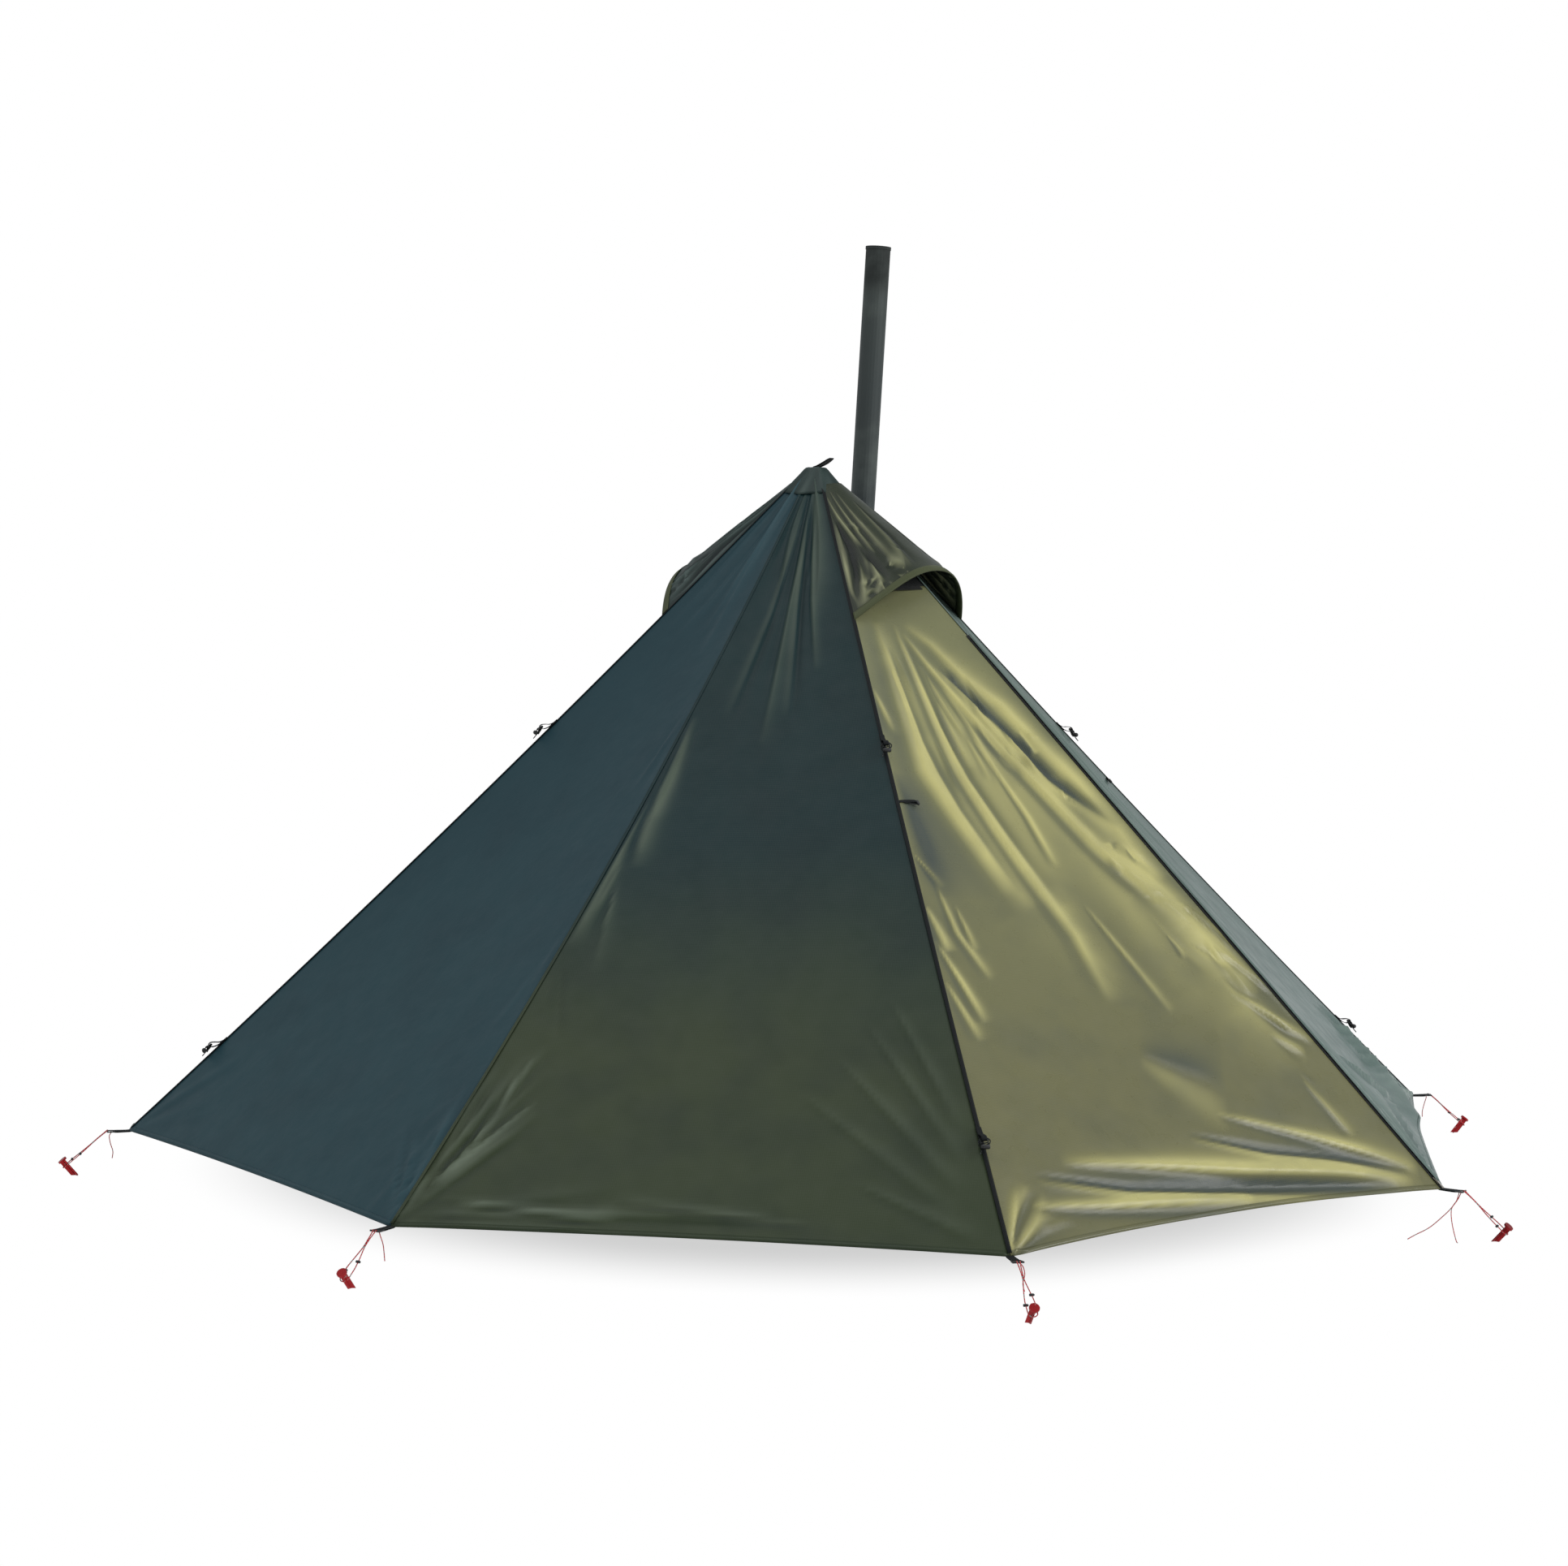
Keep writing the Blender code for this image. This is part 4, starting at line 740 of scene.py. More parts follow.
# In every fold table, shine paints a highlight along a fold, or shade where it is negative.
PLAIN_RIDGE_FOLDS: tuple[Pressed, ...] = (
    Fold(((0.46, 0.05), (0.43, 0.20), (0.42, 0.40)), 0.006, 0.014, 0.28),
    Fold(((0.60, 0.06), (0.64, 0.20), (0.68, 0.30)), 0.005, 0.011, 0.32),
    Fold(((0.50, 0.08), (0.53, 0.20), (0.56, 0.36)), -0.005, 0.012, -0.5),
    Fold(((0.36, 0.08), (0.30, 0.22), (0.24, 0.36)), -0.004, 0.012, -0.35),
    Fold(((0.078, 0.80), (0.059, 0.895), (0.03, 0.95)), 0.007, 0.011, 0.8),
    Fold(((0.13, 0.85), (0.068, 0.91), (0.03, 0.95)), 0.006, 0.012, 0.75),
    Fold(((0.025, 0.968), (0.108, 0.970), (0.225, 0.977), (0.368, 0.986)), 0.006, 0.010, 0.7),
    Fan((0.5, 0.02), (0.10, 0.26), (0.86, 0.30), 7, 0.005, 0.018, 0.16),
    Fold(((0.03, 0.36), (0.05, 0.46), (0.09, 0.56)), 0.005, 0.020, 0.5),
    Fold(((0.02, 0.45), (0.02, 0.66)), 0.004, 0.014, 0.6),
    Crumple((0.01, 0.36), (0.07, 0.74), (0.05, 0.10), 0.5, 9, 0.003, 0.012, 0.3),
    Fan((0.0, 1.0), (0.03, 0.72), (0.22, 0.84), 8, 0.007, 0.011, 0.3),
    Fan((0.0, 1.0), (0.30, 0.93), (0.60, 0.99), 3, 0.004, 0.014, 0.2),
    Fold(((0.87, 0.72), (0.975, 0.87)), 0.004, 0.016, 0.2),
    Fold(((0.81, 0.75), (0.965, 0.905)), 0.004, 0.018, 0.22),
    Fold(((0.74, 0.79), (0.95, 0.935)), 0.004, 0.020, 0.22),
    Fold(((0.66, 0.83), (0.93, 0.96)), 0.004, 0.020, 0.16),
    Fold(((0.76, 0.93), (0.96, 0.985)), 0.004, 0.018, 0.2),
    Fold(((0.02, 0.985), (0.62, 0.974)), 0.006, 0.014, 0.35),
    Fold(((0.70, 0.985), (0.35, 0.967)), 0.004, 0.014, -0.4),
)
RIDGE_PLAIN_FOLDS: tuple[Pressed, ...] = (
    Fan((0.5, 0.02), (0.15, 0.28), (0.85, 0.34), 6, 0.005, 0.020, 0.2),
    Fan((1.0, 1.0), (0.97, 0.80), (0.84, 0.90), 6, 0.005, 0.013, 0.35),
    Fan((0.0, 1.0), (0.12, 0.86), (0.30, 0.96), 3, 0.003, 0.020, 0.12),
    Crumple((0.93, 0.30), (0.99, 0.90), (-0.05, 0.10), 0.5, 8, 0.003, 0.013, 0.25),
)
RIDGE_ZIP_FOLDS: tuple[Pressed, ...] = (
    Fold(
        (
            (0.22, 0.234), (0.205, 0.36), (0.19, 0.44),
            (0.27, 0.504), (0.33, 0.558), (0.40, 0.62),
        ),
        0.010, 0.046, 0.9,
    ),
    Fold(((0.26, 0.27), (0.25, 0.40), (0.30, 0.49), (0.39, 0.60)), -0.004, 0.020, -0.8),
    Fold(
        (
            (0.40, 0.24), (0.37, 0.377), (0.372, 0.441), (0.42, 0.517),
            (0.458, 0.58), (0.505, 0.657), (0.50, 0.74),
        ),
        0.007, 0.020, 0.95,
    ),
    Fold(((0.44, 0.26), (0.41, 0.38), (0.42, 0.45), (0.47, 0.53), (0.52, 0.62)), -0.004, 0.018, -0.7),
    Fold(
        (
            (0.45, 0.25), (0.508, 0.29), (0.60, 0.357), (0.657, 0.403),
            (0.73, 0.465), (0.794, 0.546), (0.87, 0.604), (0.92, 0.65),
        ),
        0.009, 0.022, 1.2,
    ),
    Fold(
        (
            (0.50, 0.24), (0.643, 0.269), (0.735, 0.32), (0.83, 0.358),
            (0.875, 0.417), (0.92, 0.467), (0.93, 0.524), (0.93, 0.60),
        ),
        0.009, 0.040, 1.0,
    ),
    Fold(
        (
            (0.60, 0.30), (0.70, 0.345), (0.752, 0.379), (0.794, 0.416),
            (0.825, 0.458), (0.90, 0.499), (0.94, 0.53),
        ),
        -0.008, 0.016, -1.5,
    ),
    Fold(((0.78, 0.55), (0.88, 0.60), (0.92, 0.66), (0.96, 0.75)), 0.007, 0.058, 0.8),
    Fold(((0.54, 0.33), (0.573, 0.378), (0.566, 0.459)), 0.004, 0.012, 0.6),
    Fold(((0.55, 0.40), (0.577, 0.455), (0.592, 0.504), (0.586, 0.57)), 0.004, 0.010, 0.9),
    Fold(((0.60, 0.62), (0.66, 0.76)), 0.004, 0.012, 0.6),
    Fold(((0.014, 0.545), (0.095, 0.588)), 0.004, 0.009, 1.0),
    Fold(((0.07, 0.58), (0.096, 0.643), (0.16, 0.70)), 0.004, 0.012, 0.9),
    Fold(((0.12, 0.61), (0.145, 0.665)), 0.003, 0.009, 0.7),
    Fold(((0.02, 0.33), (0.09, 0.39)), 0.004, 0.016, 0.9),
    Fold(((0.01, 0.61), (0.05, 0.665)), 0.005, 0.015, 1.2),
    Fold(((0.01, 0.65), (0.06, 0.70), (0.10, 0.75)), 0.005, 0.013, 1.1),
    Fold(((0.01, 0.70), (0.07, 0.77)), 0.004, 0.014, 0.8),
    # Two broad bands of painted highlight with no depth, and two broad bands of painted shade over shallow
    # folds.
    Fold(((0.92, 0.84), (0.88, 0.72), (0.83, 0.56), (0.73, 0.40), (0.58, 0.29)), 0.0, 0.15, 0.7),
    Fold(((0.56, 0.74), (0.48, 0.54), (0.38, 0.38)), 0.0, 0.13, 0.32),
    Fold(((0.03, 0.44), (0.06, 0.516), (0.09, 0.60)), 0.003, 0.060, -1.1),
    Fold(((0.50, 0.80), (0.68, 0.845)), 0.003, 0.060, -0.7),
    Crumple((0.62, 0.29), (0.86, 0.42), (0.05, 0.035), 0.8, 16, 0.005, 0.011, 0.9),
    Crumple((0.80, 0.42), (0.94, 0.56), (0.05, 0.03), 0.9, 12, 0.005, 0.011, 0.8),
    Crumple((0.80, 0.57), (0.96, 0.70), (0.05, 0.05), 0.8, 12, 0.005, 0.012, 0.6),
    Crumple((0.84, 0.70), (0.95, 0.86), (0.05, 0.06), 0.5, 8, 0.004, 0.014, 0.45),
    Crumple((0.16, 0.28), (0.55, 0.40), (0.01, 0.09), 0.25, 8, 0.004, 0.012, 0.5),
    Fold(((0.60, 0.885), (0.786, 0.924), (0.895, 0.95), (0.985, 0.975)), 0.009, 0.020, 1.0),
    Fold(((0.50, 0.905), (0.664, 0.935), (0.792, 0.95), (0.96, 0.975)), -0.009, 0.020, -1.2),
    Fold(((0.17, 0.915), (0.379, 0.934), (0.584, 0.955), (0.76, 0.969), (0.97, 0.988)), 0.013, 0.036, 1.3),
    Fold(((0.10, 0.925), (0.304, 0.955), (0.472, 0.97), (0.642, 0.98), (0.90, 0.992)), -0.012, 0.024, -1.7),
    Fold(((0.07, 0.955), (0.219, 0.968), (0.371, 0.978), (0.56, 0.988)), 0.009, 0.024, 1.3),
    Fan((0.0, 1.0), (0.05, 0.90), (0.22, 0.975), 5, 0.006, 0.014, 0.5),
)
ZIP_RIDGE_FOLDS: tuple[Pressed, ...] = (
    Fan((0.89, 0.225), (0.80, 0.66), (0.34, 0.78), 6, 0.005, 0.020, 0.25),
    Crumple((0.02, 0.30), (0.14, 0.84), (0.05, 0.07), 0.7, 12, 0.004, 0.011, 0.3),
    Fan((0.0, 1.0), (0.12, 0.72), (0.70, 0.95), 8, 0.012, 0.018, 0.7),
    Fan((1.0, 1.0), (0.80, 0.80), (0.55, 0.97), 8, 0.012, 0.015, 0.6),
    Fold(((0.30, 0.86), (0.62, 0.97)), 0.014, 0.028, 0.5),
    Fold(((0.93, 0.84), (0.82, 0.94), (0.50, 1.02)), 0.026, 0.085, 0.1),
    Fold(((0.93, 0.92), (0.76, 1.0)), 0.010, 0.018, 0.5),
)
HOOD_FOLDS: tuple[Pressed, ...] = (
    Fold(((0.02, 0.10), (0.10, 0.40), (0.16, 0.68)), 0.007, 0.012, 0.9),
    Fold(((0.10, 0.06), (0.17, 0.40), (0.21, 0.70)), 0.005, 0.009, 0.7),
    Fold(((0.20, 0.10), (0.25, 0.50), (0.28, 0.80)), 0.005, 0.014, 0.5),
    Fold(((0.05, 0.30), (0.07, 0.55), (0.06, 0.80)), -0.006, 0.020, -1.0),
    Fold(((0.12, 0.50), (0.17, 0.75), (0.20, 0.90)), -0.005, 0.014, -0.8),
    Fold(((0.10, 0.62), (0.07, 0.82), (0.05, 0.97)), 0.007, 0.013, 0.8),
    Fold(((0.15, 0.70), (0.15, 0.86), (0.12, 0.97)), 0.006, 0.010, 0.6),
    Fold(((0.02, 0.50), (0.015, 0.80), (0.03, 0.96)), 0.004, 0.007, 0.7),
    Fold(((0.24, 0.78), (0.33, 0.88)), 0.006, 0.026, 0.55),
    Fold(((0.38, 0.20), (0.41, 0.60), (0.40, 0.92)), -0.003, 0.016, -0.6),
    Crumple((0.06, 0.80), (0.26, 0.93), (0.03, 0.05), 1.0, 14, 0.004, 0.006, 0.7),
    Crumple((0.05, 0.20), (0.35, 0.70), (0.03, 0.12), 0.5, 10, 0.003, 0.008, 0.35),
)


def press(
    folds: Iterable[Pressed], seed: int, at: np.ndarray, flat: Callable[..., np.ndarray]
) -> tuple[np.ndarray, np.ndarray]:
    """Presses folds into a cloth.

    Args:
        folds: The folds, fans and crumples.
        seed: What the small differences between folds come from.
        at: Points of the cloth laid flat, in metres.
        flat: Gives the flat place of a pair of shares across and down.

    Returns:
        How far the cloth stands out at each point, and the highlight and shade painted there.
    """
    chance = random.Random(seed)
    height, shine = np.zeros(at.shape[:-1]), np.zeros(at.shape[:-1])
    for part in folds:
        for fold in [part] if isinstance(part, Fold) else part.folds(chance):
            aside, share = beside(at, [flat(*place) for place in fold.route], fold.bend)
            width = fold.width * (0.45 + 0.9 * share)
            crest = np.exp(-(np.abs(aside / np.where(aside > 0, width * 0.7, width * 1.2)) ** 1.5))
            hollow = np.exp(-((aside / width / 2.2) ** 2))
            # Painted shade: a dark band to one side of the fold, as if it were lit from the other.
            shade = np.exp(-((aside / width - 1.5) ** 2))
            taper = (4 * share * (1 - share)) ** 0.7
            height += fold.depth * (1.6 * crest - 0.7 * hollow) * taper
            # The fold's shine paints a highlight on its crest and shade beside it.
            shine += fold.shine * (1.15 * crest - 0.55 * shade) * taper
    return height, shine


def beside(at: np.ndarray, knots: list[np.ndarray], bend: float) -> tuple[np.ndarray, np.ndarray]:
    """Where points lie beside a route.

    Args:
        at: Points of the flat cloth.
        knots: The places that the route joins.
        bend: How far the route bows to one side halfway along.

    Returns:
        How far each point lies beside the route, with a sign, and how far along it, as a share.
    """
    lengths = [float(np.linalg.norm(b - a)) for a, b in zip(knots, knots[1:])]
    total, run = sum(lengths), 0.0
    aside, share = np.full(at.shape[:-1], 9.0), np.zeros(at.shape[:-1])
    for start, end, length in zip(knots, knots[1:], lengths):
        way = (end - start) / length
        off = at - start
        on = np.clip(off @ way, 0, length)
        gap = np.linalg.norm(off - on[..., None] * way, axis=-1) * np.sign(off @ np.array((-way[1], way[0])))
        nearer = np.abs(gap) < np.abs(aside)
        aside = np.where(nearer, gap, aside)
        share = np.where(nearer, (run + on) / total, share)
        run += length
    return aside + bend * np.sin(share * math.pi), share


# Mesh helpers


def clear_selection() -> None:
    """Leaves no object selected or in edit mode."""
    if bpy.context.object and bpy.context.object.mode != "OBJECT":
        bpy.ops.object.mode_set(mode="OBJECT")
    bpy.ops.object.select_all(action="DESELECT")


def pick(piece: bpy.types.Object) -> None:
    """Makes one object the selected and active one."""
    clear_selection()
    piece.select_set(True)
    bpy.context.view_layer.objects.active = piece


def linked(name: str, data: Any) -> bpy.types.Object:
    """A new object in the scene."""
    made = bpy.data.objects.new(name, data)
    bpy.context.scene.collection.objects.link(made)
    return made


def apply_all(piece: bpy.types.Object) -> None:
    """Applies a piece's modifiers in order."""
    pick(piece)
    for name in [step.name for step in piece.modifiers]:
        bpy.ops.object.modifier_apply(modifier=name)


def thicken(piece: bpy.types.Object, thickness: float, offset: float = -1.0) -> None:
    """Gives a sheet its thickness.

    Args:
        piece: The sheet.
        thickness: How thick it gets.
        offset: Which side the thickness goes to: -1 is the inner one and 0 both.
    """
    shell = piece.modifiers.new("thickness", "SOLIDIFY")
    shell.thickness = thickness
    shell.offset = offset
    apply_all(piece)


def cloth_mesh(
    name: str,
    points: np.ndarray,
    flat: np.ndarray,
    finish: Finish,
    outwards: np.ndarray,
    thickness: float,
    fold: np.ndarray | None = None,
    keep: np.ndarray | None = None,
    offset: float = -1.0,
) -> bpy.types.Object:
    """Makes a sheet from a grid of points.

    Args:
        name: The piece's name.
        points: Rows of points, x, y, z last.
        flat: Where each point lies on the flat cloth, in metres.
        finish: Its finish.
        outwards: Roughly which way the sheet faces.
        thickness: How thick the cloth is.
        fold: A number per point for the finish's painted light, from -1 for painted shade in a trough to 1
            for a painted highlight on a crest.
        keep: Which of the grid's faces to make.
        offset: Which side of the points the thickness goes to.

    Returns:
        The piece.
    """
    rows, columns = points.shape[:2]
    mesh = bpy.data.meshes.new(name)
    corners = []
    for i in range(rows - 1):
        for j in range(columns - 1):
            if keep is None or keep[i, j]:
                a = i * columns + j
                corners.append((a, a + 1, a + columns + 1, a + columns))
    middle_i, middle_j = rows // 2, columns // 2
    side = points[middle_i, min(middle_j + 1, columns - 1)] - points[middle_i, middle_j - 1]
    down = points[min(middle_i + 1, rows - 1), middle_j] - points[middle_i - 1, middle_j]
    if np.cross(side, down) @ outwards < 0:
        corners = [face[::-1] for face in corners]
    mesh.from_pydata(points.reshape(-1, 3).tolist(), [], corners)
    layer = mesh.uv_layers.new(name="flat")
    index = np.empty(len(mesh.loops), dtype=np.int32)
    mesh.loops.foreach_get("vertex_index", index)
    layer.data.foreach_set("uv", flat.reshape(-1, 2)[index].astype(np.float32).ravel())
    if fold is not None:
        mark = mesh.attributes.new("fold", "FLOAT", "POINT")
        mark.data.foreach_set("value", np.clip(fold, -1, 1).astype(np.float32).ravel())
    piece = linked(name, mesh)
    mesh.materials.append(finish.material())
    work = bmesh.new()
    work.from_mesh(mesh)
    bmesh.ops.delete(work, geom=[v for v in work.verts if not v.link_faces], context="VERTS")
    work.to_mesh(mesh)
    work.free()
    mesh.shade_smooth()
    if thickness:
        thicken(piece, thickness, offset)
    return piece


def run_along(line: np.ndarray) -> np.ndarray:
    """How far along a run of points each of them lies."""
    return np.concatenate(([0], np.cumsum(np.linalg.norm(np.diff(line, axis=0), axis=1))))


def flat_strip(across: np.ndarray, along: np.ndarray) -> np.ndarray:
    """The flat places of a strip's points, with a row for each step along it."""
    return np.stack(np.broadcast_arrays(across[None, :], along[:, None]), axis=-1)


def smooth_route(points: Sequence[Any], count: int) -> np.ndarray:
    """A smooth curve through points, resampled evenly.

    Args:
        points: The points that it passes through.
        count: How many samples to give.

    Returns:
        The samples.
    """
    knots = [Vector(p) for p in points]
    knots = [knots[0] * 2 - knots[1], *knots, knots[-1] * 2 - knots[-2]]
    steps, dense = 16, []
    for k in range(1, len(knots) - 2):
        p0, p1, p2, p3 = knots[k - 1 : k + 3]
        for step in range(steps):
            t = step / steps
            square, cube = 2 * p0 - 5 * p1 + 4 * p2 - p3, 3 * p1 - p0 - 3 * p2 + p3
            dense.append(0.5 * (2 * p1 + (p2 - p0) * t + square * t * t + cube * t**3))
    dense.append(knots[-2])
    line = np.array([tuple(p) for p in dense])
    run = run_along(line)
    even = np.linspace(0, run[-1], count)
    return np.stack([np.interp(even, run, line[:, k]) for k in range(3)], axis=1)


def tube(name: str, line: np.ndarray, radius: float, finish: Finish, sides: int = 8) -> bpy.types.Object:
    """A round cord along points, its UV map round it in turns and along it in metres.

    Args:
        name: The piece's name.
        line: Points of the centre line.
        radius: Half its thickness.
        finish: Its finish.
        sides: Faces round it.

    Returns:
        The piece.
    """
    tangents = unit(np.gradient(line, axis=0))
    normal = unit(np.cross(tangents[0], (0.3, 0.2, 0.93)))
    run = run_along(line)
    work = bmesh.new()
    layer = work.loops.layers.uv.new("flat")
    rings = []
    for spot, tangent in zip(line, tangents):
        normal = unit(normal - tangent * (normal @ tangent))
        other = np.cross(tangent, normal)
        angles = [math.tau * k / sides for k in range(sides)]
        ring = [spot + radius * (math.cos(angle) * normal + math.sin(angle) * other) for angle in angles]
        rings.append([work.verts.new(point) for point in ring])
    for ring, later, start, end in zip(rings, rings[1:], run, run[1:]):
        for k in range(sides):
            n = (k + 1) % sides
            face = work.faces.new((ring[k], ring[n], later[n], later[k]))
            face.smooth = True
            spots = ((k, start), (k + 1, start), (k + 1, end), (k, end))
            for loop, (turn, along) in zip(face.loops, spots):
                loop[layer].uv = (turn / sides, along)
    work.faces.new(rings[0][::-1])
    work.faces.new(rings[-1])
    bmesh.ops.recalc_face_normals(work, faces=work.faces)
    mesh = bpy.data.meshes.new(name)
    work.to_mesh(mesh)
    work.free()
    mesh.materials.append(finish.material())
    return linked(name, mesh)


def strap(
    name: str, line: np.ndarray, wide: Any, width: float, thickness: float, finish: Finish
) -> bpy.types.Object:
    """A flat tape along points.

    Args:
        name: The piece's name.
        line: Points of its centre line.
        wide: Which way its width lies, one direction or one per point.
        width: Edge to edge.
        thickness: Through it.
        finish: Its finish.

    Returns:
        The piece.
    """
    wide = unit(np.broadcast_to(np.asarray(wide, float), line.shape))
    across = np.linspace(-0.5, 0.5, 5) * width
    points = line[:, None, :] + wide[:, None, :] * across[None, :, None]
    middle = len(line) // 2
    out = np.cross(wide[middle], line[middle + 1] - line[middle - 1])
    return cloth_mesh(name, points, flat_strip(across, run_along(line)), finish, out, thickness, offset=0.0)


class Bench:
    """Models a hard piece with Blender's own operators."""

    smooth_angle = math.radians(40)

    def __init__(self, name: str, finish: Finish) -> None:
        """Starts a piece of that name and finish."""
        self.name = name
        self.finish = finish
        self.piece: bpy.types.Object | None = None

    def box(self, low: Sequence[float], high: Sequence[float]) -> "Bench":
        """Adds a box between two corners."""
        clear_selection()
        low, high = Vector(low), Vector(high)
        bpy.ops.mesh.primitive_cube_add(size=1, location=(low + high) / 2, scale=high - low)
        return self._take()

    def rod(self, half: Sequence[float], radius: float, sides: int) -> "Bench":
        """Adds a round bar.

        Args:
            half: From its middle, at the origin, to one end.
            radius: Half its thickness.
            sides: Faces round it.

        Returns:
            The bench.
        """
        clear_selection()
        half = Vector(half)
        turn = UP.rotation_difference(half).to_euler()
        bpy.ops.mesh.primitive_cylinder_add(
            vertices=sides, radius=radius, depth=2 * half.length, location=(0, 0, 0), rotation=turn
        )
        return self._take()

    def _take(self) -> "Bench":
        """Names the new primitive and puts its place in its mesh."""
        self.piece = bpy.context.object
        self.piece.name = self.piece.data.name = self.name
        bpy.ops.object.transform_apply(location=True, rotation=True, scale=True)
        self.piece.data.materials.append(self.finish.material())
        return self

    def faces(self, chosen: Callable[[Vector, Vector], bool]) -> "Bench":
        """Goes into edit mode with the faces selected whose middle and normal fit."""
        pick(self.piece)
        bpy.ops.object.mode_set(mode="EDIT")
        bpy.ops.mesh.select_mode(type="FACE")
        bpy.ops.mesh.select_all(action="DESELECT")
        work = bmesh.from_edit_mesh(self.piece.data)
        for face in work.faces:
            face.select_set(chosen(face.calc_center_median(), face.normal))
        bmesh.update_edit_mesh(self.piece.data)
        return self

    def cut(self, spot: Sequence[float], square: Sequence[float]) -> "Bench":
        """Cuts new edges through the whole piece along a plane."""
        pick(self.piece)
        bpy.ops.object.mode_set(mode="EDIT")
        bpy.ops.mesh.select_all(action="SELECT")
        bpy.ops.mesh.bisect(plane_co=spot, plane_no=square)
        return self.done()

    def inset(self, width: float) -> "Bench":
        """Insets the selected faces."""
        bpy.ops.mesh.inset(thickness=width, depth=0)
        return self

    def extrude(self, step: Sequence[float]) -> "Bench":
        """Extrudes the selected faces and moves them."""
        bpy.ops.mesh.extrude_region_move(TRANSFORM_OT_translate={"value": tuple(step)})
        return self

    def shrink(self, share: float, axes: tuple[bool, bool, bool] = (True, True, True)) -> "Bench":
        """Scales what is selected about its middle, on the axes that are true."""
        bpy.ops.transform.resize(value=tuple(share if on else 1.0 for on in axes))
        return self

    def bridge(self) -> "Bench":
        """Joins the selected faces through the piece as a hole."""
        bpy.ops.mesh.bridge_edge_loops()
        return self

    def done(self) -> "Bench":
        """Goes back to object mode."""
        bpy.ops.object.mode_set(mode="OBJECT")
        return self

    def rounded(self, width: float, angle: float) -> bpy.types.Object:
        """Rounds the edges and ends the piece.

        Args:
            width: Width of the rounding.
            angle: Edges flatter than this many degrees stay.

        Returns:
            The finished piece.
        """
        self.done()
        edge = self.piece.modifiers.new("edges", "BEVEL")
        edge.width = width
        edge.segments = 2
        edge.limit_method = "ANGLE"
        edge.angle_limit = math.radians(angle)
        edge.harden_normals = False
        apply_all(self.piece)
        bpy.ops.object.shade_smooth_by_angle(angle=self.smooth_angle)
        return self.piece


def copied(piece: bpy.types.Object, name: str, matrix: Matrix) -> bpy.types.Object:
    """A copy with its own mesh, its place put into the mesh."""
    other = piece.copy()
    other.data = piece.data.copy()
    other.name = other.data.name = name
    bpy.context.scene.collection.objects.link(other)
    other.data.transform(matrix)
    return other


# Finishing and placing pieces


def dress(finish: Finish, *nodes: str) -> None:
    """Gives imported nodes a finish."""
    for name in nodes:
        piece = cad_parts[name]
        piece.data.materials.clear()
        piece.data.materials.append(finish.material())
        LOG.info("dressed %s", name)


def placed(piece: bpy.types.Object, slot: str, *replaced: str, body: str = TENT) -> bpy.types.Object:
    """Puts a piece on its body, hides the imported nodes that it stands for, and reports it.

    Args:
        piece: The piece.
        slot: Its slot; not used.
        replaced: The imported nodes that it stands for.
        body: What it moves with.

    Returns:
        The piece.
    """
    if replaced:
        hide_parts(*replaced)
    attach(piece, body)
    LOG.info("made %s on %s", piece.name, body)
    return piece


def limp_cord(
    piece: bpy.types.Object, line: np.ndarray, diameter: float, step: int = 3, **facts: Any
) -> None:
    """Lists every few points of a cord's centre line as a route, which is not kept.

    Args:
        piece: The cord; not used.
        line: Points of its centre line.
        diameter: Its thickness; not used.
        step: Every how many of the points the route has one.
        facts: How its far end is held, how it lies and what is threaded on it; not used.
    """
    path = [*(tuple(p) for p in line[::step]), tuple(line[-1])]
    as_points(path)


def toggle(
    model: bpy.types.Object, name: str, spot: np.ndarray, axes: Sequence[np.ndarray], size: float
) -> bpy.types.Object:
    """A small barrel on a loop.

    Args:
        model: What it is a copy of.
        name: Its name.
        spot: Where its middle lies.
        axes: Which ways its own X, Y and Z point.
        size: Its size as a share of the model's.

    Returns:
        The piece.
    """
    turn = Matrix([tuple(way) for way in axes]).transposed().to_4x4()
    matrix = Matrix.Translation(tuple(spot)) @ turn @ Matrix.Scale(size, 4)
    return placed(copied(model, name, matrix), "black_webbing")


# Sub-assemblies


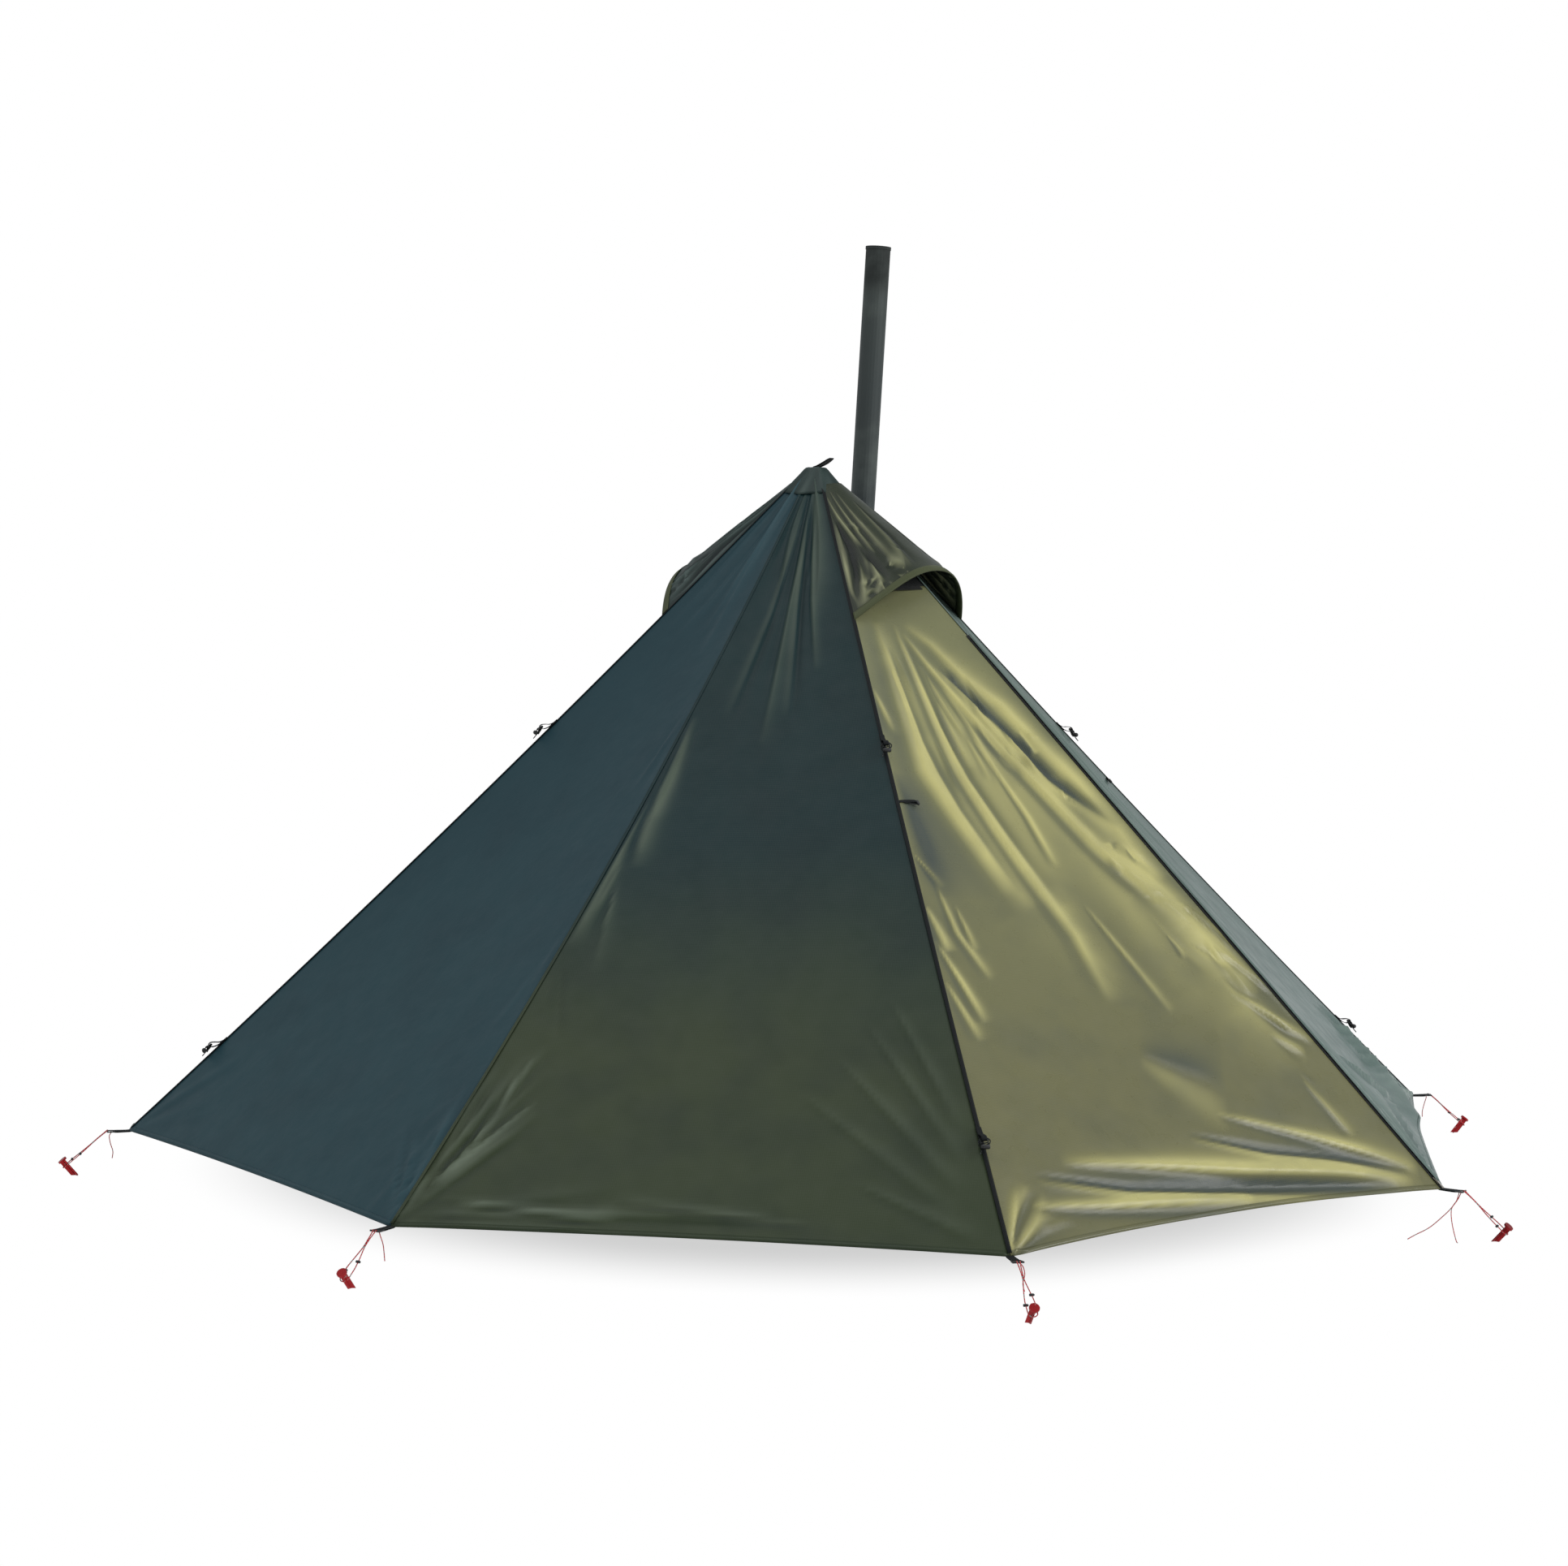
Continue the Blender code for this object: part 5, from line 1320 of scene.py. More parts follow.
@dataclass
class Gore:
    """One of the eight panels of cloth, with its folds."""

    index: int
    name: str
    finish: Silnylon
    folds: tuple[Pressed, ...]
    replaced: tuple[str, ...]
    flap: str | None
    fine: float
    first_seed: int = 11
    cloth: float = 0.8 * MM
    inset: float = 1.0 * MM
    zip_inset: float = 5.0 * MM
    peak_share: float = 0.03
    side_rise: float = 0.008
    door_rise: float = 0.028
    window_shares: tuple[float, float, float] = (0.09, 0.19, 0.3)
    bend_above: float = 24 * MM
    bend_below: float = 34 * MM

    @property
    def across(self) -> int:
        """Faces from seam to seam."""
        return round((84) * self.fine)

    @property
    def down(self) -> int:
        """Faces from the peak to the hem."""
        return round((140) * self.fine)

    @property
    def normal(self) -> np.ndarray:
        """Which way it faces, outwards."""
        return SHAPE.normal(self.index)

    def flat(self, u: Any, v: Any) -> np.ndarray:
        """Where a point lies on the flat gore, in metres from its middle line and its peak."""
        u, v = np.asarray(u), np.asarray(v)
        return np.stack(((u - 0.5) * v * SHAPE.side, v * SHAPE.gore_length), axis=-1)

    def relief(self, u: np.ndarray, v: np.ndarray) -> tuple[np.ndarray, np.ndarray]:
        """The folds at shares across and down.

        Args:
            u: Shares across.
            v: Shares down.

        Returns:
            How far the folds stand out, and the highlight and shade painted on them.
        """
        height, shine = press(self.folds, self.first_seed + self.index, self.flat(u, v), self.flat)
        edges = np.minimum(u, 1 - u) * v * SHAPE.side
        rim = eased(edges / 0.02) * eased((1 - v) * SHAPE.gore_length / 0.004 + 0.35)
        return height * rim, shine

    def surface(self, u: np.ndarray, v: np.ndarray) -> np.ndarray:
        """Points of the stretched gore, without its folds.

        Args:
            u: Shares across.
            v: Shares down.

        Returns:
            The points.
        """
        first, second = SHAPE.seam(self.index, v), SHAPE.seam(self.index + 1, v)
        wide = np.linalg.norm(second - first, axis=-1)
        insets = []
        for corner in (self.index, self.index + 1):
            inset = np.full_like(v, self.inset)
            if SHAPE.kind(corner) is Seam.ZIP:
                inset += (self.zip_inset - self.inset) * eased((v - SHAPE.zip_top) / 0.01)
            insets.append(inset / wide)
        share = insets[0] + (1 - insets[0] - insets[1]) * u
        base = first + (second - first) * share[..., None]
        rise = self.door_rise if self.flap else self.side_rise
        hem = (SHAPE.seam(self.index, 1) + SHAPE.seam(self.index + 1, 1)) / 2
        up = unit(SHAPE.seam(self.index, 0) - hem)
        arch = 4 * u * (1 - u)
        base = base + up * (rise * arch * v**8)[..., None]
        bow = SHAPE.bow * arch * 4 * v * (1 - v)
        return base - self.normal * bow[..., None]

    def folded(self, u: np.ndarray, v: np.ndarray, lift: float = 0.0) -> tuple[np.ndarray, np.ndarray]:
        """Points of the gore with its folds.

        Args:
            u: Shares across.
            v: Shares down.
            lift: How far the points are above the cloth.

        Returns:
            The points, and the highlight and shade painted on the folds there.
        """
        height, shine = self.relief(np.clip(u, 0, 1), np.clip(v, 0, 1))
        return self.surface(u, v) + self.normal * (height + lift)[..., None], shine

    def point(self, u: float, v: float) -> np.ndarray:
        """One point of the folded gore."""
        return self.folded(np.array([[u]]), np.array([[v]]))[0][0, 0]

    def build(self, extras: list[bpy.types.Object]) -> None:
        """Makes the gore.

        Args:
            extras: Tapes and hems that are sewn to it.
        """
        u, v = np.meshgrid(np.linspace(0, 1, self.across + 1), np.linspace(self.peak_share, 1, self.down + 1))
        points, shine = self.folded(u, v)
        keep = self.outside_window(u, v) if self.flap else None
        flat, normal = self.flat(u, v), self.normal
        piece = cloth_mesh(self.name, points, flat, self.finish, normal, self.cloth, shine, keep)
        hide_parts(*self.replaced)
        self.attach(piece)
        SHAPE.gore_length
        SHAPE.side * SHAPE.gore_length / 2
        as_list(extras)

    def outside_window(self, u: np.ndarray, v: np.ndarray) -> np.ndarray:
        """Which faces are left beside the vent's window.

        Args:
            u: Shares across of the points.
            v: Shares down of the points.

        Returns:
            True for each face that stays.
        """
        top, bottom, side = self.window_shares
        mid_u, mid_v = ((shares[:-1, :-1] + shares[1:, 1:]) / 2 for shares in (u, v))
        if SHAPE.kind(self.index) is Seam.ZIP:
            mid_u = 1 - mid_u
        return ~((mid_v > top) & (mid_v < bottom) & (mid_u > side))

    def attach(self, piece: bpy.types.Object) -> bpy.types.Object:
        """Puts a soft piece on the tent; a piece of a door flap only has its place put into its mesh.

        Args:
            piece: A piece of this gore.

        Returns:
            The piece.
        """
        if not self.flap:
            return placed(piece, "tent_cloth")
        corners = (self.index, self.index + 1)
        ridge, seam = corners if SHAPE.kind(self.index) is Seam.RIDGE else corners[::-1]
        foot, top = SHAPE.seam(ridge, 1), SHAPE.seam(seam, SHAPE.zip_top)
        side = np.cross(self.normal, unit(top - foot))
        if side @ (SHAPE.seam(seam, 1) - foot) < 0:
            side = -side
        start, end = top - side * self.bend_above, top + side * self.bend_below
        tuple(start)
        tuple(end)
        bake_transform(piece)
        LOG.info("made %s, folding to %s", piece.name, self.flap)
        return piece


def make_gores() -> list[Gore]:
    """The eight gores, anticlockwise from the one at the right back, which the flue passes."""
    sides = (
        "right_back", "back_right", "back_left", "left_back", "left_front", "front_left", "front_right",
        "right_front",
    )
    folds = (PLAIN_RIDGE_FOLDS, RIDGE_ZIP_FOLDS, ZIP_RIDGE_FOLDS, RIDGE_PLAIN_FOLDS)
    finishes = (Looks.side_painted_shade_gradient, Looks.door_painted_sunlight, Looks.door_painted_sky_reflection, Looks.side_painted_sky_shade)
    gores = []
    for index, side in enumerate(sides):
        kind = index % 4
        is_door = kind in (1, 2)
        replaced = [f"door_flap_{side}" if is_door else f"side_panel_{side}"]
        if kind == 1:
            replaced.append(f"door_head_{side.split('_')[0]}")
        flap = f"flap_{side}" if is_door else None
        fine = (1.2, 1.7, 1.2, 1.0)[kind]
        gore = Gore(index, f"cloth_{side}", finishes[kind], folds[kind], tuple(replaced), flap, fine)
        gores.append(gore)
    return gores


@dataclass
class SeamTape:
    """The tape or felled seam that covers a joint between two gores."""

    corner: int
    place: str
    cloth: Finish
    ridge_width: float = 11 * MM
    ridge_lift: float = 1.6 * MM
    felled_width: float = 9 * MM
    felled_lift: float = 1.3 * MM
    top: float = 0.045
    bottom: float = 0.997
    past_zip: float = 0.008
    rows: int = 110
    thickness: float = 0.7 * MM
    across_shares: tuple[float, ...] = (-0.5, -0.3, -0.08, 0.08, 0.3, 0.5)

    def build(self) -> bpy.types.Object:
        """Makes the strip, folded over the ridge."""
        kind = SHAPE.kind(self.corner)
        name, finish, width, lift = "felled_seam", self.cloth, self.felled_width, self.felled_lift
        if kind is Seam.RIDGE:
            name, finish, width, lift = "ridge_tape", Looks.tape, self.ridge_width, self.ridge_lift
        bottom = SHAPE.zip_top + self.past_zip if kind is Seam.ZIP else self.bottom
        down = np.linspace(self.top, bottom, self.rows)
        across = np.array(self.across_shares) * width
        line, crest = SHAPE.seam(self.corner, down), SHAPE.crest(self.corner)
        points = np.empty((self.rows, len(across), 3))
        for j, aside in enumerate(across):
            gore = (self.corner - 1) % 8 if aside < 0 else self.corner
            step = SHAPE.into(self.corner, gore) * abs(aside)
            points[:, j] = line + step + SHAPE.normal(gore) * lift + crest * lift * 0.4
        flat = flat_strip(across, down * SHAPE.seam_length)
        unfolded = np.zeros(points.shape[:2])
        piece = cloth_mesh(f"{name}_{self.place}", points, flat, finish, crest, self.thickness, unfolded)
        return placed(piece, "tent_cloth")


@dataclass
class Hem:
    """The folded hem of one gore, a narrow band round its lower edge."""

    gore: Gore
    width: float = 14 * MM
    thickness: float = 1.6 * MM
    lift: float = 0.7 * MM
    end_share: float = 0.004
    bottom_share: float = 1.0008

    def build(self) -> bpy.types.Object:
        """Makes the band, on the outside of the cloth."""
        gore = self.gore
        across = np.linspace(self.end_share, 1 - self.end_share, gore.across + 1)
        u, v = np.meshgrid(across, np.linspace(1 - self.width / SHAPE.gore_length, self.bottom_share, 3))
        points, shine = gore.folded(u, v, self.lift)
        # Painted light on the hem: half the folds' painted highlight and shade, and darker all along it by a
        # little painted shade.
        shine = shine * 0.5 - 0.15
        name, flat = f"hem_{gore.name}", gore.flat(u, v)
        return gore.attach(cloth_mesh(name, points, flat, gore.finish, gore.normal, self.thickness, shine))


@dataclass
class Hood:
    """The hood over a vent, its stiffened brim and the net behind it."""

    door: str
    turn: float
    finish: Silnylon
    reach: float = 0.43
    drop: float = 0.335
    side_lift: float = 0.048
    crown_share: float = 0.40
    top: float = 0.040
    rows: int = 90
    columns: int = 180
    brim: float = 0.024
    clear: float = 4.4 * MM
    edge_lift: float = 0.6 * MM
    cloth: float = 0.9 * MM
    width: float = 0.66
    length: float = 0.42
    area: float = 0.165
    seed: int = 31
    net_cloth: float = 0.5 * MM
    net_behind: float = 2.4 * MM
    net_flat: Place = (0.38, 0.30)
    net_area: float = 0.085
    net_shares: tuple[float, float, float] = (0.086, 0.194, 0.27)
    net_half: float = 0.2
    net_faces: tuple[int, int] = (12, 20)

    def place(self, across: np.ndarray, down: np.ndarray, offset: float = 0.0) -> np.ndarray:
        """Points of the hood, as it lies at the front door.

        Args:
            across: Shares from 0 at the left ridge to 1 at the right one.
            down: Shares from the top to the brim.
            offset: How far above the hood's own surface.

        Returns:
            The points.
        """
        side = np.where(across < 0.5, -1.0, 1.0)
        half = 1 - np.abs(across - 0.5) * 2
        share = self.top + (SHAPE.hood_end - self.top) * down
        normal = SHAPE.normal(FRONT_LEFT)
        edge = SHAPE.seam(FRONT_LEFT, share) + normal * (self.edge_lift + offset)
        start = SHAPE.seam(FRONT, self.top) + np.array((0, 0, (self.clear + offset) * 1.46))
        tip = np.array((0.0, -self.reach, SHAPE.height - self.drop + offset))
        ridge = start + (tip - start) * down[..., None]
        out = (edge - ridge)[..., 0]
        lift = normal * (self.side_lift * down + self.clear)[..., None]
        low = edge + (ridge - edge) * self.crown_share + lift
        high = ridge + np.stack((out * self.crown_share, 0 * out, 0 * out), axis=-1)
        u, w = half[..., None], 1 - half[..., None]
        point = edge * w**3 + low * 3 * w * w * u + high * 3 * w * u * u + ridge * u**3
        point[..., 0] *= -side
        return point

    def turned(self, points: Any) -> np.ndarray:
        """The same points at this hood's door."""
        c, s = math.cos(self.turn), math.sin(self.turn)
        return np.asarray(points) @ np.array(((c, s, 0), (-s, c, 0), (0, 0, 1)))

    def flat(self, across: Any, down: Any) -> np.ndarray:
        """The flat place of a pair of shares."""
        return np.stack(((np.asarray(across) - 0.5) * self.width, np.asarray(down) * self.length), axis=-1)

    def build(self) -> None:
        """Makes the hood, its brim and its net."""
        u, v = np.meshgrid(np.linspace(0, 1, self.columns + 1), np.linspace(0, 1, self.rows + 1))
        near = 0.5 - np.abs(u - 0.5)
        # shine is the painted highlight and shade on the hood's folds.
        height, shine = press(HOOD_FOLDS, self.seed, self.flat(near, v), self.flat)
        slack = eased(near / 0.04) * eased((0.5 - near) / 0.08) * eased(v / 0.08) * eased((1 - v) / 0.05)
        normal = np.array((0.0, -0.55, 0.83))
        points = self.turned(self.place(u, v) + normal * (height * slack)[..., None])
        name, out = f"hood_cloth_{self.door}", self.turned(normal)
        hood = cloth_mesh(name, points, self.flat(u, v), self.finish, out, self.cloth, shine)
        placed(hood, "hood_cloth", f"hood_{self.door}")
        brim = self.binding(u[0])
        self.netting()

    def binding(self, across: np.ndarray) -> bpy.types.Object:
        """The brim's binding, folded round the hood's edge.

        Args:
            across: Shares across of its points.

        Returns:
            The piece.
        """
        reach = math.hypot(self.reach, self.drop)
        inner = 1 - self.brim / reach
        profile = (
            (inner, 2.2), (inner + 0.01, 3.0), (0.996, 3.0), (1.004, 1.2), (1.004, -1.4), (0.99, -2.6),
            (inner, -2.0),
        )
        rows = [self.place(across, np.full_like(across, down), lift * MM) for down, lift in profile]
        points = self.turned(np.stack(rows))
        along = np.array([down for down, _ in profile]) * reach - 0.5
        run = np.linspace(-0.5, 0.5, len(across)) * self.width
        flat = np.stack(np.broadcast_arrays(along[:, None], run[None, :]), axis=-1)
        out, unfolded = self.turned((0.0, -0.3, -1.0)), np.zeros(points.shape[:2])
        name = f"brim_{self.door}"
        piece = cloth_mesh(name, points, flat, Looks.binding, out, self.cloth, unfolded, offset=0.0)
        return placed(piece, "brim_binding", f"hood_brim_{self.door}")

    def netting(self) -> None:
        """The net in the vent's window, on both sides of the seam."""
        (top, bottom, side), (rows, columns) = self.net_shares, self.net_faces
        t, v = np.meshgrid(np.linspace(-1, 1, columns + 1), np.linspace(top, bottom, rows + 1))
        share = (1 - side) * np.abs(t)
        ridge, seam = SHAPE.seam(FRONT_LEFT, v), SHAPE.seam(FRONT, v)
        points = seam + (ridge - seam) * share[..., None] - SHAPE.normal(FRONT_LEFT) * self.net_behind
        points[..., 0] = np.abs(points[..., 0]) * np.sign(t)
        points, out = self.turned(points), self.turned((0.0, -0.7, 0.7))
        flat = np.stack((t * self.net_half, v * SHAPE.seam_length), axis=-1)
        piece = cloth_mesh(f"net_{self.door}", points, flat, Looks.net, out, self.net_cloth)
        placed(piece, "vent_net", f"vent_net_{self.door}")


@dataclass
class Crown:
    """The patch that caps the gores over the pole, and the loop to hang the tent by."""

    share: float = 0.052
    first_share: float = 0.002
    sunk: float = 0.032
    lift: float = 6.0 * MM
    cloth: float = 1.2 * MM
    bend: float = 8 * MM
    hole: float = 20 * MM
    rows: int = 16
    columns: int = 64
    flat: Place = (0.30, 0.30)
    area: float = 0.046
    loop_width: float = 19 * MM
    loop_thickness: float = 1.6 * MM
    loop_route: tuple[Place, ...] = (
        (0.0, -0.002), (-0.012, 0.001), (-0.026, 0.0065), (-0.040, 0.0135), (-0.051, 0.0215),
        (-0.0565, 0.0265), (-0.0535, 0.0275), (-0.044, 0.0240), (-0.029, 0.016), (-0.014, 0.0085),
        (-0.004, 0.004), (0.006, 0.0015),
    )

    @property
    def level(self) -> float:
        """Height of the rounded top."""
        return SHAPE.height - self.sunk + self.lift

    def build(self) -> None:
        """Makes the rounded eight-sided patch and the loop."""
        step = np.arange(self.rows + 1)
        out = step / self.rows
        down = np.maximum(self.first_share, self.share * out)
        points, flat, painted_crease_light = [], [], []
        for turn in np.arange(self.columns + 1) / self.columns * 8:
            first, second = SHAPE.seam(int(turn) % 8, down), SHAPE.seam(int(turn) % 8 + 1, down)
            column = first + (second - first) * (turn % 1)
            wave = np.sin(turn * 5.1) * 0.6 + np.sin(turn * 9.7 + step * 0.4) * 0.4
            flat_top = self.level - 0.10 * down * (1 + 0.6 * np.sin(turn * 2.3))
            sharp = column[:, 2] + self.lift * (1 - 0.45 * out**4)
            blend = 0.5 + 0.5 * np.tanh((sharp - flat_top) / self.bend)
            column[:, 2] = sharp + (flat_top - sharp) * blend
            column[:, :2] *= (1 + 0.02 * wave * out)[:, None]
            points.append(column)
            reach, angle = down * SHAPE.gore_length, turn * math.pi / 4
            flat.append(np.stack((reach * math.cos(angle), reach * math.sin(angle)), axis=-1))
            # Painted highlight and shade along the patch's waves.
            painted_crease_light.append(wave * 0.5 * out)
        points[-1] = points[0]
        points, flat, painted_crease_light = (np.stack(columns, axis=1) for columns in (points, flat, painted_crease_light))
        piece = cloth_mesh("crown_cloth", points, flat, Looks.crown, np.array((0, 0, 1.0)), 0.0, painted_crease_light)
        self.close(piece)
        thicken(piece, self.cloth)
        placed(piece, "tent_cloth", "crown_patch")
        loop, rests_on = self.loop(), ["pole_upper"]
        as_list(rests_on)

    def close(self, piece: bpy.types.Object) -> None:
        """Joins the patch's ends and fills its middle.

        Args:
            piece: The patch as an open sheet.
        """
        work = bmesh.new()
        work.from_mesh(piece.data)
        bmesh.ops.remove_doubles(work, verts=work.verts, dist=0.05 * MM)
        inner = [e for e in work.edges if e.is_boundary and max(v.co.xy.length for v in e.verts) < self.hole]
        bmesh.ops.contextual_create(work, geom=inner)
        bmesh.ops.recalc_face_normals(work, faces=work.faces)
        if sum(f.normal.z for f in work.faces) < 0:
            bmesh.ops.reverse_faces(work, faces=work.faces)
        work.to_mesh(piece.data)
        work.free()
        piece.data.shade_smooth()

    def loop(self) -> bpy.types.Object:
        """The webbing loop, sewn to the patch at both ends."""
        line = smooth_route([(0.0, y, self.level + z) for y, z in self.loop_route], 60)
        size = (self.loop_width, self.loop_thickness)
        piece = strap("hanging_loop", line, (1.0, 0.0, 0.0), *size, Looks.strap)
        return placed(piece, "black_webbing", "hang_loop")


@dataclass
class Hardware:
    """The small hard pieces that repeat, each modelled once."""

    tab: float = 0.040
    length: float = 0.024
    width: float = 0.031
    thick: float = 3.2 * MM
    rim: float = 4 * MM
    bars: tuple[float, ...] = (4.2 * MM, 9.6 * MM, 13.6 * MM, 19.2 * MM)

    def buckle(self) -> bpy.types.Object:
        """A ladder lock: a frame with two slots and a raised lip."""
        half, thick, slot = self.width / 2, self.thick / 2, self.width / 2 - self.rim
        bench = Bench("buckle_model", Looks.buckle)
        bench.box((self.tab, -half, -thick), (self.tab + self.length, half, thick))
        bars = [self.tab + bar for bar in self.bars]
        for x in bars:
            bench.cut((x, 0, 0), (1, 0, 0))
        for y in (-slot, slot):
            bench.cut((0, y, 0), (0, 1, 0))
        for near, far in (bars[:2], bars[2:]):
            bench.faces(lambda c, n, a=near, b=far: a < c.x < b and abs(c.y) < slot and abs(n.z) > 0.9)
            bench.bridge().done()
        bench.faces(lambda c, n: c.x > bars[3] and n.z > 0.9).extrude((0.6 * MM, 0, 1.1 * MM))
        bench.shrink(0.7, (True, False, False)).done()
        bench.faces(lambda c, n: c.x < bars[0] and abs(n.z) > 0.9).shrink(0.86, (False, True, False)).done()
        return bench.rounded(0.7 * MM, 40)

    def lock(self) -> bpy.types.Object:
        """A small cord lock: a waisted barrel with a button."""
        bench = Bench("lock_model", Looks.buckle).rod((0, 5 * MM, 0), 3.6 * MM, 16)
        bench.faces(lambda c, n: n.y > 0.9).inset(0.9 * MM).extrude((0, 2.2 * MM, 0)).shrink(0.86).done()
        bench.faces(lambda c, n: n.y < -0.9).inset(0.5 * MM).extrude((0, -0.8 * MM, 0)).done()
        return bench.rounded(0.4 * MM, 30)

    def build(self) -> dict[str, bpy.types.Object]:
        """Makes the models; their copies go on the tent."""
        return {"buckle": self.buckle(), "lock": self.lock()}


@dataclass
class Corner:
    """A pegged corner: webbing, ladder-lock buckle, cord and peg."""

    index: int
    name: str
    models: dict[str, bpy.types.Object]
    tab: float = Hardware.tab
    buckle: float = Hardware.length
    from_corner: float = 1.05 * MM
    height: float = 0.12723
    fall: float = math.radians(40)
    strap_width: float = 19 * MM
    strap_thickness: float = 1.5 * MM
    cord_reach: float = 0.15
    cord_round: float = 0.0124
    cord_radius: float = 1.5 * MM
    cord_out: tuple[Spot, ...] = (
        (-0.004, 0.0045, 0.0010), (0.008, 0.0032, 0.0012), (0.030, 0.0018, 0.0016), (0.055, 0.0022, 0.0010),
        (0.085, 0.0075, 0.0002), (0.115, 0.0120, 0.0006), (0.136, 0.0127, 0.0008),
    )
    short_tail: tuple[Spot, ...] = (
        (0.052, 0.006, -0.003), (0.057, 0.014, -0.012), (0.054, 0.020, -0.032), (0.047, 0.018, -0.056),
        (0.049, 0.022, -0.076),
    )
    long_tails: tuple[tuple[Spot, ...], ...] = (
        (
            (0.055, -0.004, -0.003), (0.050, -0.014, -0.02), (0.035, -0.024, -0.045),
            (0.018, -0.034, -0.066), (-0.012, -0.062, -0.098), (-0.040, -0.100, -0.116),
            (-0.052, -0.125, -0.1245),
        ),
        (
            (0.048, 0.002, -0.003), (0.046, -0.012, -0.024), (0.036, -0.024, -0.048),
            (0.046, -0.046, -0.082), (0.070, -0.080, -0.120), (0.078, -0.090, -0.1250),
        ),
    )

    @property
    def frame(self) -> Matrix:
        """X out along the ground from the corner."""
        turn = Matrix.Rotation(SHAPE.angle(self.index), 4, "Z")
        return turn @ Matrix.Translation((SHAPE.radius - self.from_corner, 0, self.height))

    @property
    def sloping(self) -> Matrix:
        """X along the cord, from the buckle's end down to the peg."""
        end = Matrix.Translation((self.tab + self.buckle, 0, 0))
        return self.frame @ end @ Matrix.Rotation(self.fall, 4, "Y")

    def build(self) -> None:
        """Makes the corner's pieces."""
        buckle = copied(self.models["buckle"], f"buckle_{self.name}", self.frame)
        placed(buckle, "black_webbing", f"corner_buckle_{self.name}")
        self.webbing()
        self.cord()
        for number, route in enumerate(self.long_tails if self.index == FRONT else (self.short_tail,)):
            self.tail(number, route)

    def webbing(self) -> None:
        """The strap from under the hem, round the buckle's inner bar and back, and its loose tail."""
        tab, frame = self.tab, self.frame
        over = (
            (-0.030, 0, 0.0235), (-0.014, 0, 0.0075), (0.0, 0, 0.0022), (0.018, 0, 0.0014),
            (tab - 0.002, 0, 0.0016), (tab + 0.0062, 0, 0.0008), (tab + 0.0066, 0, -0.0012),
            (tab - 0.003, 0, -0.0026), (0.014, 0, -0.0022), (-0.004, 0, -0.0014), (-0.010, 0, 0.0004),
        )
        line = np.array([tuple(frame @ Vector(p)) for p in smooth_route(over, 56)])
        wide, size = tuple(frame.to_3x3() @ Vector((0, 1, 0))), (self.strap_width, self.strap_thickness)
        placed(strap(f"corner_strap_{self.name}", line, wide, *size, Looks.strap), "black_webbing")

    def cord(self) -> None:
        """The cord from the buckle round the peg and back, with two cord locks."""
        angles = [math.pi * (0.42 - 0.84 * step / 6) for step in range(7)]
        reach, bend = self.cord_reach, self.cord_round
        arc = [(reach + bend * math.cos(angle), bend * math.sin(angle), 0.0004) for angle in angles]
        back = [(x, -y, z + 0.0004) for x, y, z in reversed(self.cord_out)]
        sloping = self.sloping
        line = smooth_route([sloping @ Vector(p) for p in (*self.cord_out, *arc, *back)], 150)
        piece = tube(f"peg_line_{self.name}", line, self.cord_radius, Looks.cord)
        placed(piece, "two_tone_cord", f"peg_cord_{self.name}")
        locks = []
        for side, spot in (("left", (0.098, 0.0096, 0.0010)), ("right", (0.128, -0.0128, 0.0010))):
            matrix = sloping @ Matrix.Translation(spot)
            lock = copied(self.models["lock"], f"cord_lock_{side}_{self.name}", matrix)
            locks.append(placed(lock, "black_webbing"))
        limp_cord(piece, line, 2 * self.cord_radius, far_end="object", lay="taut", with_pieces=locks)

    def tail(self, number: int, points: Sequence[Spot]) -> None:
        """A loose end of cord that hangs from the buckle.

        Args:
            number: Its number at this corner.
            points: Its route in the corner's frame.
        """
        line = smooth_route([self.frame @ Vector(p) for p in points], 60)
        piece = tube(f"cord_end_{number}_{self.name}", line, self.cord_radius * 0.85, Looks.cord)
        placed(piece, "two_tone_cord")
        limp_cord(piece, line, 1.7 * self.cord_radius, far_end="bare", lay="loose")


